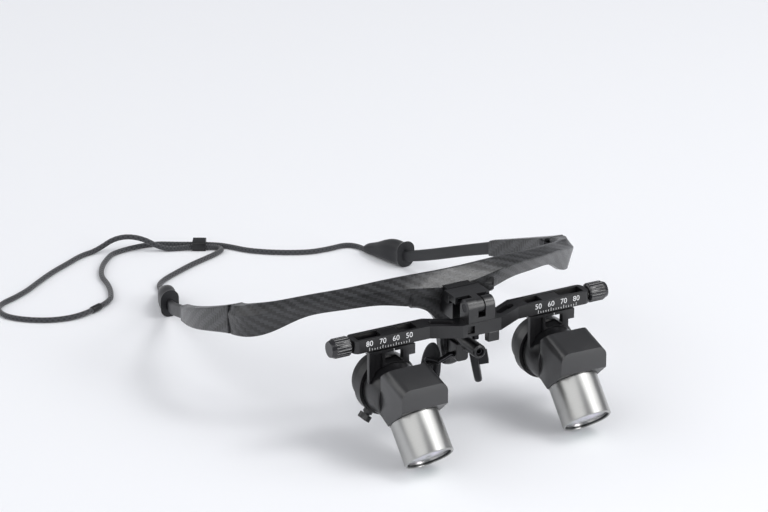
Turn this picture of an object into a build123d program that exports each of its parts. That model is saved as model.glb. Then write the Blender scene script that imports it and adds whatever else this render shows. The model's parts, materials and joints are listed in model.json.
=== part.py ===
from build123d import *
import math
import os

# Binocular dental loupes on a carbon spectacle frame: two angled prism
# telescopes hang from a flip-up rail with a pupil-distance drive for each eye.
#
# Millimetres. +X is the wearer's left, +Y is backwards, towards the ears, +Z is up.
# Everything is modelled from the middle of the rail's front lower edge, and moved
# at the end so that the object stands on z = 0 with the middle of its box at x = y = 0.

FIT = 0.02                 # gap between pieces that are screwed or pressed together
RUN = 0.05                 # gap between pieces that turn or slide on each other
CUT = 1.0                  # how far a cutting tool reaches past the faces that it opens
TOUCH = 0.01               # how near an edge lies to a face that it counts as being on

# ---- rail: two graduated bars joined by a cranked bridge ----
RAIL_HEIGHT = 4.5
RAIL_DEPTH = 7.0
BRIDGE_HALF = 7.4          # half the width of the bridge's front face
BRIDGE_STEP = 5.2          # how far the bridge stands in front of the bars
BRIDGE_BACK = 1.9
CRANK_X = 17.2             # where the cranked arm meets the straight bar
CRANK_SHIFT = 0.6          # how much nearer the middle the crank's back corner is
BAR_END_X = 45.6
BAR_END_ROUND = 2.0
ARM_POCKET_WIDTH = 2.6     # lightening pocket on top of each cranked arm
ARM_POCKET_LENGTH = 9.0
ARM_POCKET_DEPTH = 1.8

# ---- pupil distance ----
PUPIL_HALF = 31.0          # where each carriage stands at rest
PUPIL_HALF_MIN = 25.0
PUPIL_HALF_MAX = 40.0
CARRIAGE_LENGTH = 7.0
SLOT_WIDTH = 4.4
SLOT_END_GAP = 0.15        # carriage to slot end at the limits of travel
CARRIAGE_TOP_DROP = 0.2

# ---- lead screw and knurled knob ----
SCREW_RADIUS = 0.85
SCREW_TIP_DEPTH = 1.6      # how far the screw's tip sits in the bar past the slot
SCREW_CHAMFER = 0.3
COLLAR_RADIUS = 1.9
COLLAR_LENGTH = 0.5        # collar between bar and knob, also the knob's distance
KNOB_LENGTH = 7.3
KNOB_RADIUS = 3.4
KNOB_RIBS = 18
KNOB_RIB_RADIUS = 0.32
KNOB_RIB_SINK = 0.6        # share of a rib's radius that the body lies inside the ribs' tips
KNOB_RIB_START = 0.5
KNOB_CHAMFER = 0.4
KNOB_END_WALL = 1.0        # metal left past the end of the screw's bore
KNOB_NOSE_RADIUS = 2.7
KNOB_NOSE_LENGTH = 1.5
KNOB_CLEAR = 0.3           # room that the hanger leaves round the knob

# ---- hanger: one plate with two legs and the clamp ring ----
HANGER_GAP = 0.3           # hanger to the underside of the bar
HANGER_FRONT = -0.5
HANGER_BACK = 4.5
HANGER_LEFT = 9.4          # reach towards -X
LEG_INNER = 4.4            # inner side of the wide leg
LEG_THICK = 1.6            # front plate that both legs are cut from
LEG_STRIP = 2.0            # proud strip along the wide leg's outer side
LEG_RECESS = 0.7
LEG_FOOT_Z = -11.5         # lowest point of the wide leg
HANGER_RIGHT = 5.7         # reach of the narrow leg towards +X
STOP_LUG_RIGHT = 8.0
STOP_LUG_DROP = 3.9
WINDOW_HALF = 3.4
WINDOW_TOP = -1.3
WINDOW_BOTTOM = -5.4
WINDOW_ROUND = 0.9
HANGER_SCREW_Y = 3.0
HANGER_SCREW_RADIUS = 0.9
HANGER_SCREW_HEAD = 0.6
HANGER_SCREW_HEAD_RADIUS = 1.5
HANGER_SCREW_HEX = 0.7
HANGER_SCREW_HEX_DEPTH = 0.4
HANGER_SCREW_CLEAR = 0.3   # between its tip and the lead screw's bore

# ---- telescope: ocular tube in its clamp ring, and eyepiece ----
OCULAR_Z = -15.4
TOE_IN = 1.0               # degrees that each telescope turns towards the middle
TOE_PIVOT_Y = 3.0
TUBE_RADIUS = 9.7
TUBE_CHAMFER = 0.3
TUBE_FRONT = -6.6          # back face of the prism housing
SEAT_RADIUS = 8.8
RING_RADIUS = 10.8
RING_FRONT = 4.0
RING_BACK = 7.6
RING_SIDE_GAP = 0.2
BORE_RADIUS = 6.7          # clear bore of the tube
CAP_RADIUS = 9.0
CAP_BACK = 13.6
CAP_WALL = 1.3
CAP_LIP = 1.0
CAP_EDGE = 0.9
CAP_CHAMFER = 0.2
CAP_STEP = 0.4             # step of the lip inside the tube's bore
EYE_LENS_THICK = 2.6
EYE_LENS_BULGE = 0.7
EYE_LENS_RECESS = 1.2

# ---- two-lobed thumb screw in the clamp ring ----
THUMB_ANGLE = -54.0        # degrees below the horizontal, on the outer side
THUMB_BOSS_RADIUS = 1.7
THUMB_BOSS_REACH = 1.0
THUMB_SHANK_RADIUS = 0.8
THUMB_NECK_LENGTH = 0.5
THUMB_NECK_RADIUS = 1.2
THUMB_HEAD_THICK = 2.0
THUMB_LOBE_RADIUS = 1.3
THUMB_LOBE_SPREAD = 1.6
THUMB_WAIST = 0.55         # radius of each waist cut, as a share of a lobe's
THUMB_WAIST_OUT = 0.45     # how far out it lies, as a share of its own radius

# ---- prism housing ----
DIP = 47.5                 # degrees that the objective points below the horizon
KNEE_Y = -9.3              # where the two optical axes meet
HOUSING_WIDTH = 17.5
HOUSING_SHOULDER_Z = -6.5
HOUSING_TOP_BACK = (-9.5, -3.6)
HOUSING_CREASE = (-20.9, -6.5)
HOUSING_HEEL_REACH = 3.0    # how far the barrel's face runs on behind the barrel's axis
HOUSING_HEEL_BACK_Z = -20.4
HOUSING_EDGE = 3.2         # rounding of the long top edges
HOUSING_INNER_EDGE = 2.2   # the same in the cavity and on the prism
HOUSING_LONG_EDGE = 5.0    # shorter edges of the side faces stay sharp
HOUSING_WALL = 1.7
PRISM_GAP = 0.15
PRISM_SPIGOT_GAP = 1.0     # round the barrel's spigot

# ---- objective barrel ----
SOCKET_RADIUS = 8.75
BARREL_RADIUS = 8.55
BARREL_START = 6.9         # along the dipped axis, from the knee
BARREL_END = 21.6
BARREL_BORE = 7.2
BARREL_CHAMFER = 0.3
BARREL_LIP = 0.6           # inward lip at the spigot's end
BARREL_LIP_LENGTH = 1.0
SPIGOT_RADIUS = 7.9
SPIGOT_LENGTH = 2.2
OBJECTIVE_RADIUS = 7.75
OBJECTIVE_RECESS = 0.9
OBJECTIVE_THICK = 3.2
OBJECTIVE_BULGE = 0.6
RETAINER_BORE = 7.3
RETAINER_RECESS = 0.2      # from the barrel's rim back to the retaining ring
RETAINER_BEVEL = 0.2

# ---- flip-up hinge ----
FLIP_Y = -2.0
FLIP_Z = 9.3
CLEVIS_HALF = 5.1
CLEVIS_RADIUS = 3.0
FORK_WIDTH = 2.8           # slot between the clevis ears
FORK_FLOOR = 6.2
TONGUE_GAP = 0.1
TONGUE_RADIUS = 2.6
TONGUE_WEB_BACK = 4.6      # behind the flip axis, where the web's lower edge starts to drop
TONGUE_WEB_RISE = 2.0      # of the web's foot above the mount's lower face
FLIP_PIN_RADIUS = 1.0
FLIP_HEAD_RADIUS = 1.45
FLIP_HEAD_DEPTH = 0.8
FLIP_HEAD_SINK = 0.1
CLEVIS_SCREW_RADIUS = 0.8
CLEVIS_SCREW_SINK = 0.1
CLEVIS_SCREW_END_GAP = 0.4
CLEVIS_HEX = 0.45
CLEVIS_HEX_DEPTH = 0.7

# ---- under the bridge: clamp screw, stop block, notch ----
BRIDGE_SCREW_X = -1.5
BRIDGE_SCREW_Y = -3.2
BRIDGE_SCREW_RADIUS = 1.2
BRIDGE_SCREW_HEAD = 2.0
BRIDGE_SCREW_SHANK = 0.7
BRIDGE_SCREW_DEPTH = 2.4
STOP_X = 2.4
STOP_WIDTH = 4.4
STOP_DEPTH = 2.7
STOP_DROP = 3.5
STOP_ROUND = 0.5
NOTCH_X = -4.2
NOTCH_WIDTH = 2.7
NOTCH_DEPTH = 1.4
NOTCH_FLOOR = 0.9

# ---- mount block on the frame ----
MOUNT_HALF = 5.0
MOUNT_FRONT = 6.0
MOUNT_BACK = 14.4
MOUNT_BOTTOM = 1.2
MOUNT_TOP = 11.9
MOUNT_ROUND = 1.2
CROSS_HALF = 6.6
CROSS_FRONT = 1.6
CROSS_BOTTOM = 9.6
CROSS_TOP = 12.0
WING_DEPTH = 3.4           # the mount's wings, behind the cross bar
WING_DROP = 1.4            # how far they reach below it
MOUNT_SCREW_RADIUS = 0.7
MOUNT_SCREW_HEAD_RADIUS = 1.0
MOUNT_SCREW_HEAD = 0.5
MOUNT_SCREW_HEX = 0.6
MOUNT_SCREW_HEX_DEPTH = 0.6
MOUNT_SCREW_X = 5.3
MOUNT_SCREW_DEPTH = 2.4

# ---- brow frame ----
BROW_FRONT = 12.5          # front ridge at the middle
BROW_RADIUS = 87.0         # wrap of the brow, seen from above
BROW_ARC_END = 62.0        # x at which the wrap tightens into the corner
CORNER_RADIUS = 16.0
# x along the brow, then heights of its top edge, ridge and lower edge
BROW_STATIONS = (
    (0.0, 15.8, 10.9, 4.2),
    (14.0, 15.6, 12.2, 4.6),
    (26.0, 14.5, 12.6, 6.3),
    (38.0, 12.3, 10.8, 5.3),
    (50.0, 9.6, 8.1, 2.4),
    (60.0, 6.3, 4.0, -4.4),
)
# share of the corner's turn, the same heights, then how much of the front's slope is left
CORNER_STATIONS = (
    (0.45, 4.7, 1.4, -6.6, 0.6),
    (1.0, 3.2, -0.2, -7.6, 0.25),
)
END_DROP = 0.5             # end face below the last section
BROW_TOP_BACK = 4.4        # top edge behind the ridge
BROW_LOW_BACK = 3.0        # lower edge behind the ridge
BROW_THICK = 5.8
BROW_RIDGE_FLAT = 0.5      # flat on the ridge that catches the light
BROW_EDGE_FLAT = 0.8
BROW_EDGE_SHARE = 0.6      # of that flat on the narrower side of the top edge
END_Y = 52.0               # end face of the frame, where the temple starts
END_X = BROW_ARC_END + CORNER_RADIUS * (1 - BROW_ARC_END / BROW_RADIUS)

# ---- nose bridge, in one piece with the brow ----
NOSE_FRONT = 14.6
NOSE_BACK = 18.2
NOSE_SHOULDER_X = 16.0
NOSE_SHOULDER_Z = 5.0
NOSE_WAIST_X = 4.4
NOSE_WAIST_Z = -10.0
NOSE_FOOT_X = 3.2
NOSE_FOOT_Z = -18.3
NOSE_FOOT_ROUND = 0.8
NOSE_LIFT = 5.0            # how far the arch runs up into the brow
NOSE_BEND_IN = 2.6         # the flanks' bend, inwards and upwards from a straight line
NOSE_BEND_UP = 3.2
NOSE_CHAMFER = 0.9

# ---- temple hinge ----
FRAME_INNER = END_X - BROW_THICK + 0.1    # inner face of the brow's end
HINGE_X = FRAME_INNER + 0.3
HINGE_Y = END_Y + 2.0
HINGE_Z = -2.6
HINGE_RADIUS = 1.5
HINGE_SCREW_RADIUS = 0.7
HINGE_HEAD_RADIUS = 1.15
HINGE_HEAD = 0.5
HINGE_SLOT_HALF = 0.15
KNUCKLE = 2.2
KNUCKLE_GAP = 0.12
KNUCKLE_CLEAR = 0.3        # room round the temple's knuckle in the frame's leaf
LEAF_THICK = 1.1
LEAF_LENGTH = 7.0
TEMPLE_INNER = HINGE_X + 1.9    # inner face of the temple beside the hinge
TEMPLE_SEAM = 0.3          # gap between the frame's end face and the temple

# ---- temples ----
# y, outer x, top, bottom and thickness of the carbon part
TEMPLE_FRONT_STATIONS = (
    (END_Y + TEMPLE_SEAM, END_X + 0.1, 2.6, -8.1, END_X + 0.1 - TEMPLE_INNER),
    (END_Y + 10.0, END_X + 1.4, -1.6, -10.8, 4.4),
    (73.0, 68.2, -6.0, -14.3, 4.2),
    (84.0, 66.8, -10.2, -17.6, 3.8),
    (95.0, 64.3, -14.2, -20.4, 3.4),
)
# the slender part behind it, that the sleeve is pushed on to
TEMPLE_ARM_STATIONS = (
    (95.0, 63.8, -14.8, -19.8, 2.4),
    (108.0, 60.0, -19.9, -24.6, 2.4),
    (122.0, 55.3, -25.5, -30.2, 2.3),
    (136.0, 50.4, -30.6, -34.8, 2.2),
    (147.0, 46.6, -33.4, -36.2, 2.0),
)
TEMPLE_EDGE = 0.8

# ---- silicone sleeves on the temple tips ----
# y, middle x, middle z, width and height
SLEEVE_STATIONS = (
    (136.4, 49.2, -32.2, 7.4, 10.4),
    (138.0, 48.7, -32.6, 6.6, 9.6),
    (142.5, 47.4, -32.7, 6.8, 9.4),
    (148.0, 45.7, -33.7, 5.8, 7.4),
    (153.0, 44.1, -34.9, 4.4, 5.0),
    (157.0, 42.9, -36.2, 2.6, 2.6),
)
SLEEVE_CORNER = 0.48       # share of the smaller side taken by the corner rounding

# ---- nose pads ----
PAD_X = 8.6
PAD_Y = 14.6
PAD_Z = -18.4
PAD_HEIGHT = 18.0
PAD_WIDTH = 7.4
PAD_THICK = 2.6
PAD_TURN = 30.0            # degrees that the pads face backwards
PAD_SPLAY = 12.0           # degrees that they open downwards
PAD_EDGE = 1.1
PAD_BOSS = 3.4
PAD_BOSS_LENGTH = 4.0
PAD_PIN_RADIUS = 0.6
PAD_ARM_RADIUS = 0.9
PAD_ARM_BACK = 2.2         # root of the arms behind the bracket's front face
PAD_ARM_DROP = 0.9         # and below its middle
PAD_ARM_REACH = 1.6        # elbow outside the bracket
PAD_ARM_RISE = 1.6         # bend above the pad's boss
PAD_ARM_CLEAR = 0.5        # in front of the pad's edge
BRACKET_HALF = 2.3
BRACKET_FRONT = 8.0
BRACKET_TOP = -8.6
BRACKET_BOTTOM = -15.0
BRACKET_ROUND = 1.2

# ---- light mount: a socket that points forwards under the bridge ----
STUD_Z = -7.1
STUD_RADIUS = 2.45
STUD_FRONT = -4.0
STUD_STEP = 5.0            # where the collar ends and the stem begins
STUD_STEM_RADIUS = 1.9
STUD_STEM_LENGTH = 2.0     # how far the stem goes into the nose bridge
STUD_CHAMFER = 0.5
STUD_SLOPE = 0.6           # length of the cone from collar to stem
STUD_BORE_RADIUS = 1.5
STUD_BORE_DEPTH = 6.0
LOCK_SCREW_RECESS = 0.8
LOCK_SCREW_LENGTH = 4.0
LOCK_HEX = 1.5             # across the flats of the socket
LOCK_HEX_DEPTH = 1.6

# ---- retaining cord, lying on the table ----
CORD_RADIUS = 1.0
CORD_Z = -36.5
CORD_BEND = 0.45           # share of the shorter run that each bend uses
TABLE_Z = -37.5
TIP_FACE_ANGLE = 8.6       # degrees that the tip's end face looks inwards
TIP_FACE_DEPTH = 0.2       # how far the middle of that face lies before the last section
TIP_GAP = 0.04             # between the end face and the cord
BEAD = (-11.4, 190.1)
BEAD_HEADING = 150.0
BEAD_LENGTH = 5.0
BEAD_WIDTH = 5.6
BEAD_HEIGHT = 3.8
BEAD_PITCH = 2.3           # between the two strands in the bead
BEAD_EDGE = 0.8
BEAD_CHANNEL_GAP = 0.2
BEAD_CHANNEL_Z = 1.4       # the strands' height in the bead, above the table
CRIMP_START = (-68.9, 154.9)
CRIMP_END = (-73.1, 152.9)
CRIMP_RADIUS = 1.3
CRIMP_LEAD = 6.0           # straight run of cord before the crimp
CROSSING_Z = -31.5         # middle of the strand that passes over the other

PARTS = {}


# ------------------------------------------------------------------ helpers
def block(x_low, x_high, y_low, y_high, z_low, z_high):
    middle = ((x_low + x_high) / 2, (y_low + y_high) / 2, (z_low + z_high) / 2)
    return Pos(*middle) * Box(x_high - x_low, y_high - y_low, z_high - z_low)


def side_plate(outline, x_low, x_high):
    """A plate whose outline is given in Y and Z."""
    face = make_face(Plane.YZ * Polyline(*outline, close=True))
    return Pos(x_low, 0, 0) * extrude(face, amount=x_high - x_low, dir=(1, 0, 0))


def front_plate(outline, y_low, y_high):
    """A plate whose outline is given in X and Z."""
    face = make_face(Plane.XZ * Polyline(*outline, close=True))
    return Pos(0, y_low, 0) * extrude(face, amount=y_high - y_low, dir=(0, 1, 0))


def plan_plate(outline, z_low, z_high):
    """A plate whose outline is given in X and Y."""
    face = make_face(Polyline(*outline, close=True))
    return Pos(0, 0, z_low) * extrude(face, amount=z_high - z_low, dir=(0, 0, 1))


def rod(start, end, radius):
    """A round bar from one point to another."""
    axis = Vector(*end) - Vector(*start)
    seat = (Align.CENTER, Align.CENTER, Align.MIN)
    return Plane(origin=start, z_dir=axis) * Cylinder(radius, axis.length, align=seat)


def turned(profile, origin, direction):
    """A solid of revolution. The profile is (radius, distance along the axis)."""
    points = [(radius, 0, along) for radius, along in profile]
    face = make_face(Polyline(*points, close=True))
    return Plane(origin=origin, z_dir=direction) * revolve(face, Axis.Z)


def lens(radius, thick, bulge, origin, direction):
    """A biconvex lens whose middle faces lie at the origin and thick further on."""
    curve = (radius ** 2 + bulge ** 2) / (2 * bulge)
    half_turn = math.asin(radius / curve) / 2
    mid_radius = curve * math.sin(half_turn)
    mid_bulge = curve * (1 - math.cos(half_turn))
    front = ThreePointArc((0, 0, 0), (mid_radius, 0, mid_bulge), (radius, 0, bulge))
    back = ThreePointArc((radius, 0, thick - bulge), (mid_radius, 0, thick - mid_bulge), (0, 0, thick))
    rim = Line((radius, 0, bulge), (radius, 0, thick - bulge))
    core = Line((0, 0, thick), (0, 0, 0))
    face = make_face(front + rim + back + core)
    return Plane(origin=origin, z_dir=direction) * revolve(face, Axis.Z)


def both_sides(name, solid):
    """Keep a left-hand piece and its mirror image."""
    PARTS[name + "_left"] = solid
    PARTS[name + "_right"] = mirror(solid, Plane.YZ)


def rounded_section(y, middle_x, middle_z, width, height, corner):
    plane = Plane(origin=(middle_x, y, middle_z), x_dir=(1, 0, 0), z_dir=(0, 1, 0))
    return plane * RectangleRounded(width, height, corner)


# ------------------------------------------------------------------ rail
def slot_span():
    """Inner and outer end of the carriage's slot."""
    half = CARRIAGE_LENGTH / 2 + SLOT_END_GAP
    return PUPIL_HALF_MIN - half, PUPIL_HALF_MAX + half


def screw_axis():
    return RAIL_DEPTH / 2, RAIL_HEIGHT / 2


def make_rail():
    half_outline = [
        (BRIDGE_HALF, -BRIDGE_STEP),
        (CRANK_X, 0),
        (BAR_END_X, 0),
        (BAR_END_X, RAIL_DEPTH),
        (CRANK_X - CRANK_SHIFT, RAIL_DEPTH),
        (BRIDGE_HALF, BRIDGE_BACK),
    ]
    outline = half_outline + [(-x, y) for x, y in reversed(half_outline)]
    rail = plan_plate(outline, 0, RAIL_HEIGHT)
    corners = [edge for edge in rail.edges().filter_by(Axis.Z) if abs(edge.center().X) > BAR_END_X - TOUCH]
    rail = fillet(corners, BAR_END_ROUND)
    inner, outer = slot_span()
    axis_y, axis_z = screw_axis()
    arm_angle = math.degrees(math.atan2(BRIDGE_STEP, CRANK_X - BRIDGE_HALF))
    arm_x = (CRANK_X + BRIDGE_HALF) / 2
    arm_y = (RAIL_DEPTH + BRIDGE_BACK - BRIDGE_STEP) / 4
    for side in (-1, 1):
        slot = block(
            inner, outer, axis_y - SLOT_WIDTH / 2, axis_y + SLOT_WIDTH / 2, -CUT, RAIL_HEIGHT + CUT,
        )
        bearing = rod(
            (inner - SCREW_TIP_DEPTH, axis_y, axis_z), (BAR_END_X + CUT, axis_y, axis_z),
            SCREW_RADIUS + RUN,
        )
        pocket = extrude(SlotOverall(ARM_POCKET_LENGTH, ARM_POCKET_WIDTH), amount=ARM_POCKET_DEPTH + CUT)
        pocket = Pos(arm_x, arm_y, RAIL_HEIGHT - ARM_POCKET_DEPTH) * Rot(0, 0, arm_angle) * pocket
        for tool in (slot, bearing, pocket):
            rail -= tool if side > 0 else mirror(tool, Plane.YZ)
    rail -= block(
        NOTCH_X - NOTCH_WIDTH / 2, NOTCH_X + NOTCH_WIDTH / 2,
        -BRIDGE_STEP - CUT, -BRIDGE_STEP + NOTCH_DEPTH,
        NOTCH_FLOOR, RAIL_HEIGHT - NOTCH_FLOOR,
    )
    rail -= rod(
        (BRIDGE_SCREW_X, BRIDGE_SCREW_Y, -CUT),
        (BRIDGE_SCREW_X, BRIDGE_SCREW_Y, BRIDGE_SCREW_DEPTH + FIT), BRIDGE_SCREW_SHANK + FIT,
    )
    rail -= rod((0, FLIP_Y, -CUT), (0, FLIP_Y, RAIL_HEIGHT + CUT), CLEVIS_SCREW_RADIUS + FIT)
    return rail


def make_knob():
    """A ribbed knob on the outer end of the lead screw, left side."""
    axis_y, axis_z = screw_axis()
    start = BAR_END_X + COLLAR_LENGTH
    body_length = KNOB_LENGTH - KNOB_NOSE_LENGTH
    core = KNOB_RADIUS - KNOB_RIB_RADIUS * KNOB_RIB_SINK
    knob = turned(
        [
            (0, 0), (core - KNOB_CHAMFER, 0), (core, KNOB_CHAMFER), (core, body_length),
            (KNOB_NOSE_RADIUS, KNOB_LENGTH), (0, KNOB_LENGTH),
        ],
        (start, axis_y, axis_z), (1, 0, 0),
    )
    for index in range(KNOB_RIBS):
        turn = 2 * math.pi * index / KNOB_RIBS
        reach = KNOB_RADIUS - KNOB_RIB_RADIUS
        y = axis_y + reach * math.cos(turn)
        z = axis_z + reach * math.sin(turn)
        knob += rod((start + KNOB_RIB_START, y, z), (start + body_length, y, z), KNOB_RIB_RADIUS)
    bore_end = start + body_length - KNOB_END_WALL
    return knob - rod((start - CUT, axis_y, axis_z), (bore_end, axis_y, axis_z), SCREW_RADIUS + FIT)


def make_lead_screw():
    """Plain screw from the slot's inner end to inside the knob, with a collar outside the bar."""
    axis_y, axis_z = screw_axis()
    inner = slot_span()[0]
    tip = inner - SCREW_TIP_DEPTH + SLOT_END_GAP
    knob_end = BAR_END_X + COLLAR_LENGTH + KNOB_LENGTH - KNOB_NOSE_LENGTH - KNOB_END_WALL - FIT
    collar = BAR_END_X + RUN
    collar_end = BAR_END_X + COLLAR_LENGTH - FIT
    return turned(
        [
            (0, tip), (SCREW_RADIUS - SCREW_CHAMFER, tip), (SCREW_RADIUS, tip + SCREW_CHAMFER),
            (SCREW_RADIUS, collar), (COLLAR_RADIUS, collar),
            (COLLAR_RADIUS, collar_end), (SCREW_RADIUS, collar_end),
            (SCREW_RADIUS, knob_end), (0, knob_end),
        ],
        (0, axis_y, axis_z), (1, 0, 0),
    )


def make_carriage():
    """The nut block that the lead screw drives along the slot, at x = 0."""
    axis_y, axis_z = screw_axis()
    half = CARRIAGE_LENGTH / 2
    width = SLOT_WIDTH - 2 * RUN
    carriage = block(
        -half, half, axis_y - width / 2, axis_y + width / 2,
        -HANGER_GAP, RAIL_HEIGHT - CARRIAGE_TOP_DROP,
    )
    carriage -= rod((-half - CUT, axis_y, axis_z), (half + CUT, axis_y, axis_z), SCREW_RADIUS + RUN)
    hole_end = (0, HANGER_SCREW_Y, hanger_screw_tip() + FIT)
    return carriage - rod((0, HANGER_SCREW_Y, -CUT), hole_end, HANGER_SCREW_RADIUS + FIT)


# ------------------------------------------------------------------ hanger
def toe(solid, side):
    """Turn a telescope's piece towards the middle, about the hanger's upright axis."""
    turn = Pos(0, TOE_PIVOT_Y, 0) * Rot(0, 0, -TOE_IN * side) * Pos(0, -TOE_PIVOT_Y, 0)
    return turn * solid


def along_ocular(y):
    return (0, y, OCULAR_Z)


def thumb_direction(side):
    turn = math.radians(THUMB_ANGLE)
    return Vector(side * math.cos(turn), 0, math.sin(turn))


def thumb_axis_y():
    return (RING_FRONT + RING_BACK) / 2


def make_hanger(side):
    """Front plate with two legs, a flange under the bar, the clamp ring and the web between."""
    top = -HANGER_GAP
    outline = [
        (-HANGER_LEFT, top), (STOP_LUG_RIGHT, top), (STOP_LUG_RIGHT, -STOP_LUG_DROP),
        (HANGER_RIGHT, -STOP_LUG_DROP), (HANGER_RIGHT, LEG_FOOT_Z),
        (-HANGER_LEFT, LEG_FOOT_Z),
    ]
    plate = front_plate(outline, HANGER_FRONT, HANGER_FRONT + LEG_THICK)
    plate -= block(
        -HANGER_LEFT + LEG_STRIP, -LEG_INNER, HANGER_FRONT - CUT, HANGER_FRONT + LEG_RECESS,
        LEG_FOOT_Z - CUT, WINDOW_TOP,
    )
    plate += block(-HANGER_LEFT, STOP_LUG_RIGHT, HANGER_FRONT, HANGER_BACK, WINDOW_TOP, top)
    plate += block(-LEG_INNER, HANGER_RIGHT, HANGER_FRONT, RING_BACK, OCULAR_Z + SEAT_RADIUS, top)
    window = Rectangle(2 * WINDOW_HALF, WINDOW_TOP - WINDOW_BOTTOM)
    window = fillet(window.vertices(), WINDOW_ROUND)
    window = Plane.XZ * Pos(0, (WINDOW_TOP + WINDOW_BOTTOM) / 2) * window
    plate -= extrude(window, amount=RAIL_DEPTH * 2, both=True)
    ring = rod(along_ocular(RING_FRONT), along_ocular(RING_BACK), RING_RADIUS)
    plate -= rod(along_ocular(HANGER_FRONT - CUT), along_ocular(RING_BACK + CUT), SEAT_RADIUS)
    reach = thumb_direction(side) * (RING_RADIUS + THUMB_BOSS_REACH)
    middle = Vector(*along_ocular(thumb_axis_y()))
    ring += rod(tuple(middle), tuple(middle + reach), THUMB_BOSS_RADIUS)
    ring -= rod(tuple(middle), tuple(middle + reach * 2), THUMB_SHANK_RADIUS + RUN)
    clear = RING_SIDE_GAP
    tube = rod(along_ocular(TUBE_FRONT), along_ocular(RING_FRONT), TUBE_RADIUS + clear)
    cap = rod(along_ocular(RING_BACK), along_ocular(CAP_BACK), CAP_RADIUS + clear)
    bore = rod(along_ocular(TUBE_FRONT), along_ocular(CAP_BACK), SEAT_RADIUS + RUN)
    hanger = plate + toe(ring, side)
    for tool in (tube, cap, bore):
        hanger -= toe(tool, side)
    hanger -= rod(
        (0, HANGER_SCREW_Y, WINDOW_TOP - CUT), (0, HANGER_SCREW_Y, CUT), HANGER_SCREW_RADIUS + FIT,
    )
    y, z = screw_axis()
    knob_reach = BAR_END_X + COLLAR_LENGTH - PUPIL_HALF_MAX - KNOB_CLEAR
    for way in (-1, 1):
        start = (way * knob_reach, y, z)
        end = (way * (knob_reach + KNOB_LENGTH), y, z)
        hanger -= rod(start, end, KNOB_RADIUS + KNOB_CLEAR)
    return hanger


def hanger_screw_tip():
    return screw_axis()[1] - SCREW_RADIUS - RUN - HANGER_SCREW_CLEAR


def make_hanger_screw():
    """Cap screw from the window up into the carriage."""
    seat = (0, HANGER_SCREW_Y, WINDOW_TOP)
    head_low = (0, HANGER_SCREW_Y, WINDOW_TOP - HANGER_SCREW_HEAD)
    screw = rod(head_low, seat, HANGER_SCREW_HEAD_RADIUS)
    screw += rod(seat, (0, HANGER_SCREW_Y, hanger_screw_tip()), HANGER_SCREW_RADIUS)
    socket = Pos(*head_low) * extrude(RegularPolygon(HANGER_SCREW_HEX, 6), amount=HANGER_SCREW_HEX_DEPTH)
    return screw - socket


def make_thumb_screw(side):
    """Clamp screw through the ring's boss, with a flat two-lobed head."""
    direction = thumb_direction(side)
    middle = Vector(*along_ocular(thumb_axis_y()))
    start = SEAT_RADIUS + RUN
    boss = RING_RADIUS + THUMB_BOSS_REACH
    head = boss + FIT + THUMB_NECK_LENGTH
    screw = turned(
        [
            (0, start), (THUMB_SHANK_RADIUS, start), (THUMB_SHANK_RADIUS, boss + FIT),
            (THUMB_NECK_RADIUS, boss + FIT), (THUMB_NECK_RADIUS, head), (0, head),
        ],
        tuple(middle), tuple(direction),
    )
    plane = Plane(origin=tuple(middle + direction * head), x_dir=(0, 1, 0), z_dir=tuple(direction))
    wing = SlotCenterToCenter(2 * THUMB_LOBE_SPREAD, 2 * THUMB_LOBE_RADIUS)
    waist = THUMB_LOBE_RADIUS * THUMB_WAIST
    for along in (-1, 1):
        wing -= Pos(0, along * (THUMB_LOBE_RADIUS + waist * THUMB_WAIST_OUT)) * Circle(waist)
    return screw + extrude(plane * wing, amount=THUMB_HEAD_THICK)


# ------------------------------------------------------------------ telescope
def dip_direction():
    turn = math.radians(DIP)
    return Vector(0, -math.cos(turn), -math.sin(turn))


def along_dip(distance):
    return tuple(Vector(*along_ocular(KNEE_Y)) + dip_direction() * distance)


def make_tube():
    """Ocular tube: wide front, seat for the clamp ring, spigot for the eyepiece cap."""
    seat_end = RING_BACK + RING_SIDE_GAP
    spigot = CAP_RADIUS - CAP_WALL
    spigot_end = CAP_BACK - CAP_LIP - EYE_LENS_THICK - EYE_LENS_RECESS
    flange = RING_FRONT - RING_SIDE_GAP
    return turned(
        [
            (BORE_RADIUS, TUBE_FRONT), (TUBE_RADIUS - TUBE_CHAMFER, TUBE_FRONT),
            (TUBE_RADIUS, TUBE_FRONT + TUBE_CHAMFER),
            (TUBE_RADIUS, flange - TUBE_CHAMFER), (TUBE_RADIUS - TUBE_CHAMFER, flange),
            (SEAT_RADIUS, flange), (SEAT_RADIUS, seat_end), (spigot, seat_end),
            (spigot, spigot_end), (BORE_RADIUS, spigot_end),
        ],
        along_ocular(0), (0, 1, 0),
    )


def make_cap():
    """Eyepiece cap: a rubber-lipped cup screwed on the tube, with a rolled rear edge."""
    start = RING_BACK + RING_SIDE_GAP + FIT
    bore = CAP_RADIUS - CAP_WALL + FIT
    return turned(
        [
            (bore, start), (CAP_RADIUS - CAP_CHAMFER, start), (CAP_RADIUS, start + CAP_CHAMFER),
            (CAP_RADIUS, CAP_BACK - CAP_EDGE), (CAP_RADIUS - CAP_EDGE, CAP_BACK),
            (BORE_RADIUS, CAP_BACK), (BORE_RADIUS - CAP_STEP, CAP_BACK - CAP_STEP),
            (BORE_RADIUS - CAP_STEP, CAP_BACK - CAP_LIP), (bore, CAP_BACK - CAP_LIP),
        ],
        along_ocular(0), (0, 1, 0),
    )


def make_eye_lens():
    """Eye lens, held between the tube's spigot and the cap's lip."""
    radius = CAP_RADIUS - CAP_WALL
    end = CAP_BACK - CAP_LIP - FIT
    thick = EYE_LENS_THICK + EYE_LENS_RECESS - 2 * FIT
    return lens(radius, thick, EYE_LENS_BULGE, along_ocular(end), (0, -1, 0))


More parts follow.
